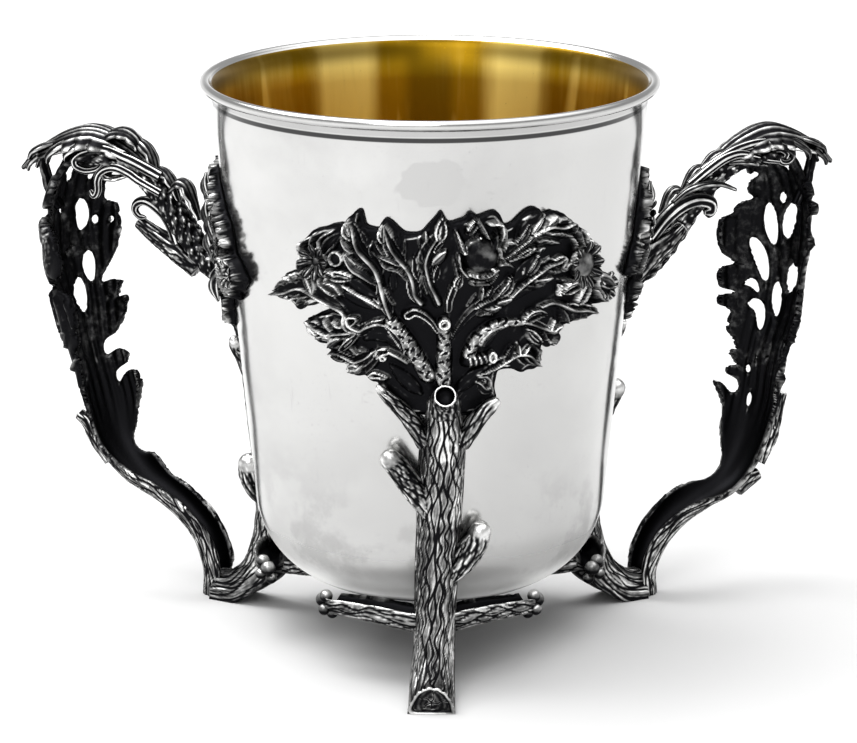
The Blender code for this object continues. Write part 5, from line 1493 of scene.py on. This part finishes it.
def bump(tree, height, distance, strength):
    inputs = {"Strength": strength, "Distance": distance, "Height": height}
    return node_value(tree, "ShaderNodeBump", inputs, "Normal")


def centred(tree, noise, size, base):
    """The base value moved by noise, to both sides."""
    return math_node(tree, "MULTIPLY_ADD", math_node(tree, "SUBTRACT", noise, 0.5), size, base)


def height_and_turn(tree, vector):
    """Height above the table and the angle round the cup, in radians from the back."""
    parts = tree.nodes.new("ShaderNodeSeparateXYZ")
    feed(tree, parts, {0: vector})
    return parts.outputs["Z"], math_node(tree, "ARCTAN2", parts.outputs["X"], parts.outputs["Y"])


def between(tree, value, low, high, soft):
    """1 inside the range, falling to 0 over `soft` on both sides."""
    rising, falling = ramp(tree, value, low - soft, low), ramp(tree, value, high, high + soft, 1.0, 0.0)
    return math_node(tree, "MULTIPLY", rising, falling)


def satin_silver(finish):
    """The cup's outside: satin silver with smudges, with painted shade in a dark line under the rim and on the
    bottom beneath, and a corner painted paler.
    """
    made, tree, shader, vector = new_material("satin_silver")
    smudge, rubbing, pitting = wear_of(tree, vector, 17.0, 2.3)
    height, _ = height_and_turn(tree, vector)
    silver = finish.silver
    dull, dark = (tuple(share * part for part in silver) for share in (0.76, 0.5))
    colour = colour_mix(tree, smudge, silver, dull)
    broad = ramp(tree, noise_node(tree, stretched(tree, vector, (1, 1, 0.35)), 9.0, 2.0), 0.35, 0.7)
    colour = colour_mix(tree, math_node(tree, "MULTIPLY", broad, 0.7), colour, dull)
    # A dull patch with a ragged edge, high on the front.
    away = node_value(tree, "ShaderNodeVectorMath", {
        0: stretched(tree, vector, (1, 0.4, 1.5)), 1: (0.001, -0.0215, 0.1867),
    }, "Value", operation="DISTANCE")
    edge = centred(tree, noise_node(tree, vector, 160.0, 2.0), 0.012, away)
    colour = colour_mix(tree, ramp(tree, edge, 0.0078, 0.0088, 0.95, 0.0), colour, dull)
    # Blotches low on the wall.
    low = ramp(tree, height, 0.028, 0.062, 0.5, 0.0)
    blotches = ramp(tree, noise_node(tree, vector, 48.0, 5.0, 0.65), 0.5, 0.62)
    colour = colour_mix(tree, math_node(tree, "MULTIPLY", blotches, low), colour, dark)
    # Painted shade: a dark line under the rim and a darker foot of the bead; with them the fine marks.
    scratches = math_node(tree, "MULTIPLY", rubbing, 0.2)
    marks = math_node(tree, "ADD", scratches, math_node(tree, "MULTIPLY", pitting, 0.4), clamp=True)
    line = between(tree, height, 0.1342, 0.1350, 0.0003)
    bead = math_node(tree, "MULTIPLY", between(tree, height, 0.1356, 0.1377, 0.0003), 0.45)
    wear_and_shade = math_node(tree, "MAXIMUM", math_node(tree, "MAXIMUM", line, bead), marks)
    colour = colour_mix(tree, wear_and_shade, colour, dark)
    # The rounded corner is rougher and less metallic, and painted paler to offset its dark reflection of the
    # shaded floor; the bottom below it is painted dark as shade under the cup, and the line under the rim
    # nearly black.
    fall = math_node(tree, "MULTIPLY_ADD", smudge, 0.002, height)
    under = ramp(tree, fall, 0.0175, 0.0198, 1.0, 0.0)
    painted_shade = math_node(tree, "MAXIMUM", math_node(tree, "MULTIPLY", line, 0.85), under)
    colour = colour_mix(tree, ramp(tree, fall, 0.021, 0.028, 1.0, 0.0), colour, finish.rubbed_and_painted_light_silver)
    satin = ramp(tree, height, 0.021, 0.034, 0.72, 0.0)
    rough = ramp(tree, smudge, 0.0, 1.0, finish.cup_roughness, finish.cup_roughness + 0.10)
    feed(tree, shader, {
        "Base Color": colour_mix(tree, painted_shade, colour, finish.oxide_and_shade),
        "Metallic": ramp(tree, height, 0.021, 0.031, 0.35, 1.0),
        "Roughness": math_node(tree, "ADD", satin, rough),
        "Normal": bump(tree, math_node(tree, "SUBTRACT", 1.0, rubbing), 0.00002, 0.5),
    })
    return made


def gilding(finish):
    """The cup's inside: gilding brushed upwards, with painted reflections in soft upright bands of bright
    yellow on a painted deep brown shade.
    """
    made, tree, shader, vector = new_material("gilding")
    _, _, pitting = wear_of(tree, vector, 30.0, 7.1)
    height, turn = height_and_turn(tree, vector)
    # deep is the gilding's painted shade between the painted reflections, and the colour of its pits.
    deep = finish.shaded_and_pitted_gold
    # Two bright bands of painted reflection stand to both sides of the middle of the back.
    around = math_node(tree, "ABSOLUTE", turn)
    offset = math_node(tree, "ABSOLUTE", math_node(tree, "SUBTRACT", around, 0.425))
    drift = noise_node(tree, stretched(tree, vector, (1, 1, 0.1)), 32.0, 2.0)
    band = ramp(tree, centred(tree, drift, 0.32, offset), 0.11, 0.22)
    band = math_node(tree, "MULTIPLY", band, ramp(tree, around, 0.6, 0.9, 1.0, 0.8))
    lines = noise_node(tree, stretched(tree, vector, (1, 1, 0.03)), 420.0, 2.0)
    narrow = ramp(tree, noise_node(tree, stretched(tree, vector, (1, 1, 0.02)), 150.0, 1.0), 0.60, 0.68)
    share = centred(tree, lines, 0.5, band)
    share = math_node(tree, "SUBTRACT", share, math_node(tree, "MULTIPLY", narrow, 0.5), clamp=True)
    colour = colour_mix(tree, share, finish.gold, deep)
    # Painted shade: it is darkest in the middle and just under the rim.
    for where, most, depth in (
        (between(tree, around, -0.05, 0.07, 0.09), 0.7, 0.35), (ramp(tree, height, 0.1325, 0.1365), 0.75, 0.3),
    ):
        darker = tuple(depth * part for part in deep)
        colour = colour_mix(tree, math_node(tree, "MULTIPLY", where, most), colour, darker)
    feed(tree, shader, {
        "Base Color": colour_mix(tree, math_node(tree, "MULTIPLY", pitting, 0.4), colour, deep),
        "Roughness": ramp(tree, share, 0.0, 1.0, 0.44, 0.30),
        "Normal": bump(tree, lines, 0.00003, 0.6),
    })
    return made


def blackened_silver(finish):
    """The castings: silver blackened in its recesses and rubbed bright on every edge; the polish that drives it
    also holds painted light and shade.
    """
    made, tree, shader, vector = new_material("blackened_silver")
    smudge, _, _ = wear_of(tree, vector, 60.0, 4.4)
    polish = node_value(tree, "ShaderNodeAttribute", {}, "Fac", attribute_name="polish")
    grain = noise_node(tree, vector, 700.0, 3.0, 0.6)
    cloud = noise_node(tree, vector, 190.0, 2.0)
    wear_and_shade = centred(tree, grain, 0.35, polish)
    wear_and_shade = math_node(tree, "MULTIPLY", wear_and_shade, ramp(tree, cloud, 0.3, 0.65, 0.74, 1.05))
    wear_and_shade = math_node(tree, "SUBTRACT", wear_and_shade, math_node(tree, "MULTIPLY", smudge, 0.06), clamp=True)
    grey = ramp(tree, wear_and_shade, finish.black_point, 0.5 * (finish.black_point + finish.bright_point))
    bright = ramp(tree, wear_and_shade, 0.4 * finish.bright_point, finish.bright_point)
    silver = finish.rubbed_and_painted_light_silver
    tone = colour_mix(tree, grey, finish.oxide_and_shade, tuple(0.22 * part for part in silver))
    feed(tree, shader, {
        "Base Color": colour_mix(tree, bright, tone, silver),
        "Roughness": ramp(tree, wear_and_shade, 0.0, 1.0, 0.45, finish.casting_roughness),
        "Specular Tint": (0.6, 0.6, 0.6, 1.0),
        "Normal": bump(tree, grain, 0.00008, 0.5),
    })
    return made


def finish_material(name):
    """The material of that finish, made once."""
    makers = {"satin_silver": satin_silver, "gilding": gilding, "blackened_silver": blackened_silver}
    return bpy.data.materials.get(name) or makers[name](bpy.context.scene.cup_finish)


# ---------------------------------------------------------------- Geometry Nodes

def node_object(name, points, edges, attributes):
    """Helper object whose points and edges are the input of a Geometry Nodes tree."""
    mesh = bpy.data.meshes.new(name)
    mesh.from_pydata([tuple(point) for point in points], edges, [])
    for attribute, values in attributes.items():
        mesh.attributes.new(attribute, "FLOAT", "POINT").data.foreach_set("value", list(values))
    made = bpy.data.objects.new(name, mesh)
    bpy.context.scene.collection.objects.link(made)
    return made


def grown_mesh(helper, tree, values):
    """Plain mesh that the tree makes from the helper, which is then removed."""
    modifier = helper.modifiers.new(tree.name, "NODES")
    modifier.node_group = tree
    sockets = {item.name: item.identifier for item in tree.interface.items_tree
               if item.item_type == "SOCKET" and item.in_out == "INPUT"}
    for socket_name, value in values.items():
        modifier[sockets[socket_name]] = value
    graph = bpy.context.evaluated_depsgraph_get()
    made = bpy.data.meshes.new_from_object(
        helper.evaluated_get(graph), preserve_all_data_layers=True, depsgraph=graph)
    bpy.data.objects.remove(helper)
    return made


def named_number(tree, name):
    """A number that each point of the geometry carries."""
    return node_value(tree, "GeometryNodeInputNamedAttribute", {"Name": name}, "Attribute", data_type="FLOAT")


def polished(tree, geometry, value):
    """Stores the polish that the castings' material reads."""
    inputs = {"Geometry": geometry, "Name": "polish", "Value": value}
    return node_value(tree, "GeometryNodeStoreNamedAttribute", inputs, data_type="FLOAT", domain="POINT")


def real_with(tree, geometry, material):
    """Real geometry in that material."""
    real = node_value(tree, "GeometryNodeRealizeInstances", {"Geometry": geometry})
    return node_value(tree, "GeometryNodeSetMaterial", {"Geometry": real, "Material": material})


def turned_profile_tree():
    """Turns a profile about the Z axis. Points with gilt above a half take the inside's material."""
    tree, source, sink = new_group(
        "turned_profile", "GeometryNodeTree",
        [("Profile", "Geometry", None), ("Segments", "Int", 192), ("Centre Offset", "Float", 0.02),
         ("Outside", "Material", None), ("Inside", "Material", None)],
        [("Vessel", "Geometry", None)],
    )
    curve = node_value(tree, "GeometryNodeMeshToCurve", {"Mesh": source["Profile"]})
    circle = node_value(tree, "GeometryNodeCurvePrimitiveCircle", {
        "Resolution": source["Segments"], "Radius": source["Centre Offset"],
    })
    turned = node_value(tree, "GeometryNodeCurveToMesh", {"Curve": circle, "Profile Curve": curve})
    gilt = {"A": named_number(tree, "gilt"), "B": 0.5}
    inside = node_value(tree, "FunctionNodeCompare", gilt, data_type="FLOAT", operation="GREATER_THAN")
    vessel = node_value(tree, "GeometryNodeSetMaterial", {
        "Geometry": real_with(tree, turned, source["Outside"]), "Selection": inside,
        "Material": source["Inside"],
    })
    feed(tree, sink, {"Vessel": vessel})
    return tree


def bud_tree():
    """A round bud on every point, of that point's size, painted lighter on top as painted light from above."""
    tree, source, sink = new_group(
        "round_buds", "GeometryNodeTree",
        [("Places", "Geometry", None), ("Segments", "Int", 28), ("Rings", "Int", 16),
         ("Material", "Material", None)],
        [("Buds", "Geometry", None)],
    )
    ball = node_value(tree, "GeometryNodeMeshUVSphere", {
        "Segments": source["Segments"], "Rings": source["Rings"], "Radius": 1.0,
    })
    place = node_value(tree, "GeometryNodeInputPosition", {})
    height = node_value(tree, "ShaderNodeSeparateXYZ", {0: place}, "Z")
    buds = node_value(tree, "GeometryNodeInstanceOnPoints", {
        "Points": source["Places"], "Scale": named_number(tree, "size"),
        # Painted light: the polish rises with height, so each bud is lighter on top.
        "Instance": polished(tree, ball, math_node(tree, "MULTIPLY_ADD", height, 0.45, 0.27)),
    })
    feed(tree, sink, {"Buds": real_with(tree, buds, source["Material"])})
    return tree


def fluted_scroll_tree():
    """Sweeps a fluted round profile of each point's thickness along each path, with polished ridges."""
    tree, source, sink = new_group(
        "fluted_scroll", "GeometryNodeTree",
        [("Paths", "Geometry", None), ("Sides", "Int", 48), ("Flutes", "Float", 6.0),
         ("Flute Depth", "Float", 0.2), ("Material", "Material", None)],
        [("Scrolls", "Geometry", None)],
    )
    curve = node_value(tree, "GeometryNodeMeshToCurve", {"Mesh": source["Paths"]})
    circle = node_value(tree, "GeometryNodeCurvePrimitiveCircle",
                        {"Resolution": source["Sides"], "Radius": 1.0})
    place = node_value(tree, "GeometryNodeInputPosition", {})
    parts = tree.nodes.new("ShaderNodeSeparateXYZ")
    feed(tree, parts, {0: place})
    angle = math_node(tree, "ARCTAN2", parts.outputs["Y"], parts.outputs["X"])
    wave = math_node(tree, "COSINE", math_node(tree, "MULTIPLY", angle, source["Flutes"]))
    ridge = math_node(tree, "MULTIPLY_ADD", wave, 0.5, 0.5)
    shine = math_node(tree, "MULTIPLY_ADD", math_node(tree, "POWER", ridge, 2.4), 0.8, 0.05)
    deep = math_node(tree, "MULTIPLY", math_node(tree, "SUBTRACT", ridge, 1.0), source["Flute Depth"])
    inwards = node_value(tree, "ShaderNodeVectorMath", {0: place, "Scale": deep}, operation="SCALE")
    profile = node_value(tree, "GeometryNodeSetPosition", {
        "Geometry": polished(tree, circle, shine), "Offset": inwards,
    })
    scrolls = node_value(tree, "GeometryNodeCurveToMesh", {
        "Curve": curve, "Profile Curve": profile, "Scale": named_number(tree, "thickness"), "Fill Caps": True,
    })
    feed(tree, sink, {"Scrolls": real_with(tree, scrolls, source["Material"])})
    return tree


# ---------------------------------------------------------------- the cup

SWEEP_RADIUS = 0.02           # metres; round the axis, for the lathe
CORNER_HEIGHT = 36.0
CORNER_RADIUS = 23.0
BOTTOM_HEIGHT = 12.8


def cup_profile(sizes):
    """(radius, height, gilt) in millimetres, from the middle of the bottom up over the rim and inside."""
    wall, bead = sizes.wall / MM, sizes.bead_radius / MM
    rim_radius, rim_height = sizes.rim_radius / MM, sizes.rim_height / MM
    lean = math.atan(WALL_SLOPE)
    centre = (wall_radius(CORNER_HEIGHT) - CORNER_RADIUS * math.cos(lean),
              CORNER_HEIGHT + CORNER_RADIUS * math.sin(lean))
    angles = np.linspace(math.radians(82), lean, 30)

    def corner(radius):
        return [(centre[0] + radius * math.cos(a), centre[1] - radius * math.sin(a)) for a in angles]

    def bottom(first, height):
        shares = np.linspace(0, 1, 9)[:-1]
        return [(first[0] * s, height + (first[1] - height) * s ** 2.2) for s in shares]

    def side(top, low):
        return [(low[0] + (top[0] - low[0]) * s, low[1] + (top[1] - low[1]) * s)
                for s in np.linspace(0, 1, 14)[1:]]

    outside, inside = corner(CORNER_RADIUS), corner(CORNER_RADIUS - wall)
    neck = rim_height - 2.45 * bead
    top_out, top_in = (wall_radius(neck), neck), (wall_radius(neck) - wall, rim_height - 2.2 * bead)
    middle = (rim_radius - bead, rim_height - bead)
    rim = [(middle[0] + bead * math.cos(a), middle[1] + bead * math.sin(a))
           for a in np.radians(np.linspace(-128, 158, 22))]
    lip = [(middle[0] - 1.25 * bead, rim_height - 0.75 * bead),
           (middle[0] - 1.45 * bead, rim_height - 1.2 * bead)]
    outer = bottom(outside[0], BOTTOM_HEIGHT) + outside + side(top_out, outside[-1]) + rim
    inner = (lip + [top_in] + side(top_in, inside[-1])[::-1][1:] + inside[::-1]
             + bottom(inside[0], BOTTOM_HEIGHT + wall)[::-1])
    return [(r, z, 0.0) for r, z in outer] + [(r, z, 1.0) for r, z in inner]


def finished_object(name, mesh, nodes):
    """A piece at the origin that rides on the frame and stands for its CAD nodes."""
    face_outwards(mesh)
    mesh.name = name
    made = bpy.data.objects.new(name, mesh)
    bpy.context.scene.collection.objects.link(made)
    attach(made, "root")
    if nodes:
        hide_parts(*nodes)


def finished_casting(casting, name, turn, nodes):
    mesh = casting.mesh(name, turn)
    mesh.materials.append(finish_material("blackened_silver"))
    finished_object(name, mesh, nodes)


# ---------------------------------------------------------------- settings

class CupSizes(bpy.types.PropertyGroup):
    """Main sizes of the vessel."""
    rim_radius: FloatProperty(name="Rim Radius", description="Outside radius of the rim bead",
                              default=0.055, min=0.02, unit="LENGTH", subtype="DISTANCE")
    rim_height: FloatProperty(name="Rim Height", description="Height of the rim above the table",
                              default=CAD_BOX[1][2], min=0.05, unit="LENGTH", subtype="DISTANCE")
    bead_radius: FloatProperty(name="Bead Radius", description="Radius of the wire bead round the rim",
                               default=0.00125, min=0.0005, unit="LENGTH", subtype="DISTANCE")
    wall: FloatProperty(name="Wall", description="Thickness of the cup's wall",
                        default=0.0012, min=0.0004, unit="LENGTH", subtype="DISTANCE")
    segments: IntProperty(name="Segments", description="Faces round the cup", default=224, min=24, max=512)


class CupFinish(bpy.types.PropertyGroup):
    """Colours and polish of the metals."""
    silver: FloatVectorProperty(name="Silver", description="Colour of the polished cup",
                                default=(0.67, 0.668, 0.661), size=3, subtype="COLOR", min=0, max=1)
    # This bright silver also paints the cup's rounded corner paler: painted light that offsets the corner's
    # dark reflection.
    rubbed_and_painted_light_silver: FloatVectorProperty(name="Rubbed Silver",
                                       description="Colour of the castings' polished edges",
                                       default=(0.95, 0.95, 0.94), size=3, subtype="COLOR", min=0, max=1)
    # This colour also paints the shade under the cup and under its rim.
    oxide_and_shade: FloatVectorProperty(name="Oxide", description="Colour of the blackened recesses",
                               default=(0.008, 0.008, 0.009), size=3, subtype="COLOR", min=0, max=1)
    gold: FloatVectorProperty(name="Gilding", description="Colour of the gilded inside",
                              default=(1.0, 0.76, 0.22), size=3, subtype="COLOR", min=0, max=1)
    # The gilding's painted shade between its painted reflection bands, and the colour of its pits.
    shaded_and_pitted_gold: FloatVectorProperty(name="Deep Gilding", description="Colour of the darker bands inside",
                                   default=(0.40, 0.225, 0.008), size=3, subtype="COLOR", min=0, max=1)
    cup_roughness: FloatProperty(name="Cup Roughness", description="Roughness of the polished cup",
                                 default=0.13, min=0, max=1, subtype="FACTOR")
    casting_roughness: FloatProperty(name="Casting Roughness", description="Roughness of the rubbed edges",
                                     default=0.24, min=0, max=1, subtype="FACTOR")
    black_point: FloatProperty(name="Black Point", description="Polish below which the castings stay black",
                               default=0.12, min=0, max=1, subtype="FACTOR")
    bright_point: FloatProperty(name="Bright Point", description="Polish above which the castings are bright",
                                default=0.78, min=0, max=1, subtype="FACTOR")


class StudioLight(bpy.types.PropertyGroup):
    """Light and floor of the stage."""
    overhead: FloatProperty(name="Overhead", description="Light added straight above", default=1.9, min=0)
    sides: FloatProperty(name="Sides", description="Brightness of the light all round", default=0.42, min=0)
    horizon: FloatProperty(name="Horizon", description="Brightness at the level of the floor",
                           default=1.0, min=0)
    key_power: FloatProperty(name="Key Power", description="Power of the main lamp",
                             default=22.0, min=0, subtype="POWER", unit="POWER")
    front_power: FloatProperty(name="Front Power", description="Power of the lamp in front",
                               default=12.0, min=0, subtype="POWER", unit="POWER")
    floor: FloatVectorProperty(name="Floor", description="Colour of the floor",
                               default=(0.63, 0.63, 0.63), size=3, subtype="COLOR", min=0, max=1)


# ---------------------------------------------------------------- operators

# The stage is in metres.
CAMERA_PLACE = (-0.00036, -0.9911, 0.33165)
CAMERA_TILT = 75.02           # degrees from looking straight down
LENS = 177.14                 # millimetres, for a sensor 36 wide
FLOOR_SIZE = 4.0
# Lamps: name, place, size, and the setting that holds their power. They look at the middle of the cup.
LAMPS = (
    ("key_lamp", (-0.7, 0.25, 1.45), 1.3, "key_power"), ("front_lamp", (-0.35, -1.5, 1.2), 0.9, "front_power"),
)
LAMPS_LOOK_AT = (0, 0, 0.08)


class CUP_OT_vessel(bpy.types.Operator):
    """Build the silver cup with its gilded inside"""
    bl_idname = "washing_cup.vessel"
    bl_label = "Build Vessel"

    def execute(self, context):
        sizes = context.scene.cup_sizes
        profile = cup_profile(sizes)
        # The profile is swept round a small circle, so it starts from that circle's radius.
        points = [(r * MM - SWEEP_RADIUS, -z * MM, 0) for r, z, _ in profile]
        edges = [(i, i + 1) for i in range(len(points) - 1)]
        helper = node_object("vessel_profile", points, edges, {"gilt": [gilt for *_, gilt in profile]})
        mesh = grown_mesh(helper, turned_profile_tree(), {
            "Segments": sizes.segments, "Centre Offset": SWEEP_RADIUS,
            "Outside": finish_material("satin_silver"), "Inside": finish_material("gilding"),
        })
        finished_object("washing_cup_vessel", mesh, ["cup"])
        return {"FINISHED"}


class CUP_OT_trunks(bpy.types.Operator):
    """Build the three legs and trunks with their side branches"""
    bl_idname = "washing_cup.trunks"
    bl_label = "Build Trunks"

    def execute(self, context):
        casting, tree = Casting(), bud_tree()
        add_trunk(casting)
        add_strut(casting)
        for hand in (1, -1):
            add_arm(casting, hand)
        add_knots(casting)
        for place, turn in TREE_TURNS.items():
            finished_casting(casting, f"{place}_trunk", turn, [f"{place}_tree"])
        for place, turn in TREE_TURNS.items():
            self.buds(place, turn, tree)
        return {"FINISHED"}

    def buds(self, place, turn, tree):
        places = [(hand * degrees + turn, *rest) for hand in (1, -1) for degrees, *rest in BUDS]
        points = [tuple(round_axis(reach, degrees, height) * MM) for degrees, reach, height, _ in places]
        helper = node_object("bud_places", points, [], {"size": [radius * MM for *_, radius in places]})
        mesh = grown_mesh(helper, tree, {
            "Segments": 28, "Rings": 16, "Material": finish_material("blackened_silver"),
        })
        finished_object(f"{place}_buds", mesh, [f"{place}_tree"])


class CUP_OT_crowns(bpy.types.Operator):
    """Build the three leafy crowns on the wall"""
    bl_idname = "washing_cup.crowns"
    bl_label = "Build Crowns"

    def execute(self, context):
        for place, turn in TREE_TURNS.items():
            casting = Casting()
            add_crown(casting, CROWN_STEP[place], place != "front")
            finished_casting(casting, f"{place}_crown", turn, [])
        return {"FINISHED"}


class CUP_OT_handles(bpy.types.Operator):
    """Build the two openwork handles, with their leaves, stubs and scrolls"""
    bl_idname = "washing_cup.handles"
    bl_label = "Build Handles"

    def execute(self, context):
        tree = fluted_scroll_tree()
        for place, handle in HANDLES.items():
            near, casting = handle.near, Casting()
            add_handle_sheet(casting, handle)
            add_leaf(casting, drawn_in(CAP_LEAF, handle), near, ridges=8, lobes=9, columns=68, shine=0.76)
            add_leaf(casting, drawn_in(CAP_STALK, handle), near, ridges=4, lobes=3, columns=22, shine=0.3)
            for lobe in CAP_LOBES:
                for hand in (1, -1):
                    add_leaf(casting, drawn_in(lobe, handle), hand, ridges=4, lobes=2, columns=24, shine=0.72)
            for leaf in handle.leaves:
                add_leaf(casting, leaf, near, ridges=5, lobes=4, columns=28, shine=0.74)
            for number, (end, points) in enumerate(handle.stubs):
                side, reach, height, radius = np.array(points, float).T
                add_branch(casting, local(near * side, reach, height), radius, STUB_SEED + number,
                           hint=(1, 0, 0), end=end, pitch=0.95, length=10.0)
            finished_casting(casting, f"{place}_handle_casting", handle.turn, [f"{place}_handle"])
            self.scrolls(place, handle, tree)
        return {"FINISHED"}

    def scrolls(self, place, handle, tree):
        points, edges, thickness = [], [], []
        for root, tip, line in handle.scrolls:
            side, reach, height = np.array(line, float).T
            path = smooth_path(local(handle.near * side, reach, height), 90)
            share = np.linspace(0, 1, len(path))
            swell = 1 + 0.2 * np.sin(math.pi * share)
            size = (root + (tip - root) * share) * swell * np.sqrt(clamped((1.015 - share) / 0.05))
            edges += [(len(points) + k, len(points) + k + 1) for k in range(len(path) - 1)]
            points += list(path * MM)
            thickness += list(size * MM)
        helper = node_object("scroll_paths", points, edges, {"thickness": thickness})
        mesh = grown_mesh(helper, tree, {
            "Sides": 48, "Flutes": 6.0, "Flute Depth": 0.24, "Material": finish_material("blackened_silver"),
        })
        mesh.transform(Matrix.Rotation(math.radians(handle.turn), 4, "Z"))
        finished_object(f"{place}_handle_scrolls", mesh, [f"{place}_handle"])


class CUP_OT_studio(bpy.types.Operator):
    """Set up the floor, the soft light and the camera"""
    bl_idname = "washing_cup.studio"
    bl_label = "Build Studio"

    def execute(self, context):
        scene, light = context.scene, context.scene.studio_light
        scene.view_settings.view_transform = "Standard"
        self.floor(scene, light)
        self.sky(scene, light)
        for name, place, size, power in LAMPS:
            self.lamp(scene, name, place, size, getattr(light, power))
        self.camera(scene)
        return {"FINISHED"}

    def floor(self, scene, light):
        body = bmesh.new()
        bmesh.ops.create_grid(body, x_segments=8, y_segments=8, size=FLOOR_SIZE)
        mesh = bpy.data.meshes.new("studio_floor")
        body.to_mesh(mesh)
        body.free()
        floor = bpy.data.objects.new("studio_floor", mesh)
        scene.collection.objects.link(floor)
        paint = bpy.data.materials.new("studio_floor")
        paint.use_nodes = True
        feed(paint.node_tree, paint.node_tree.nodes["Principled BSDF"], {
            "Base Color": (*light.floor, 1.0), "Roughness": 0.9, "Specular IOR Level": 0.0,
        })
        mesh.materials.append(paint)

    def sky(self, scene, light):
        world = bpy.data.worlds.new("studio_light")
        world.use_nodes = True
        tree = world.node_tree
        ray = node_value(tree, "ShaderNodeTexCoord", {}, "Generated")
        up = node_value(tree, "ShaderNodeSeparateXYZ", {0: ray}, "Z")
        low = ramp(tree, up, 0.04, 0.3, light.horizon, light.sides)
        level = math_node(tree, "ADD", low, ramp(tree, up, 0.5, 0.95, 0.0, light.overhead))
        feed(tree, tree.nodes["Background"], {"Strength": level, "Color": (1, 1, 1, 1)})
        scene.world = world

    def lamp(self, scene, name, place, size, power):
        data = bpy.data.lights.new(name, "AREA")
        data.energy, data.size = power, size
        lamp = bpy.data.objects.new(name, data)
        scene.collection.objects.link(lamp)
        lamp.location = place
        lamp.rotation_euler = (Vector(LAMPS_LOOK_AT) - lamp.location).to_track_quat("-Z", "Y").to_euler()

    def camera(self, scene):
        data = bpy.data.cameras.new("camera")
        data.lens, data.sensor_width = LENS, 36.0
        data.clip_start, data.clip_end = 0.05, 50.0
        camera = bpy.data.objects.new("camera", data)
        scene.collection.objects.link(camera)
        camera.location = CAMERA_PLACE
        camera.rotation_euler = (math.radians(CAMERA_TILT), 0.0, 0.0)
        scene.camera = camera


class CUP_PT_panel(bpy.types.Panel):
    """Panel that lists the cup's pieces and settings"""
    bl_idname = "CUP_PT_panel"
    bl_label = "Washing Cup"
    bl_space_type = "VIEW_3D"
    bl_region_type = "UI"
    bl_category = "Washing Cup"

    def draw(self, context):
        layout = self.layout
        for group in (context.scene.cup_sizes, context.scene.cup_finish, context.scene.studio_light):
            box = layout.box()
            for name in group.__annotations__:
                box.prop(group, name)
        for operator in OPERATORS:
            layout.operator(operator.bl_idname)


OPERATORS = (CUP_OT_vessel, CUP_OT_trunks, CUP_OT_crowns, CUP_OT_handles, CUP_OT_studio)
SETTINGS = (("cup_sizes", CupSizes), ("cup_finish", CupFinish), ("studio_light", StudioLight))


def register():
    for _, group in SETTINGS:
        bpy.utils.register_class(group)
    for item in (*OPERATORS, CUP_PT_panel):
        bpy.utils.register_class(item)
    for name, group in SETTINGS:
        setattr(bpy.types.Scene, name, PointerProperty(type=group))


def unregister():
    for name, _ in SETTINGS:
        delattr(bpy.types.Scene, name)
    for item in (CUP_PT_panel, *reversed(OPERATORS)):
        bpy.utils.unregister_class(item)
    for _, group in SETTINGS:
        bpy.utils.unregister_class(group)


def main():
    register()
    for operator in OPERATORS:
        family, action = operator.bl_idname.split(".")
        getattr(getattr(bpy.ops, family), action)()


if __name__ == "__main__":
    main()
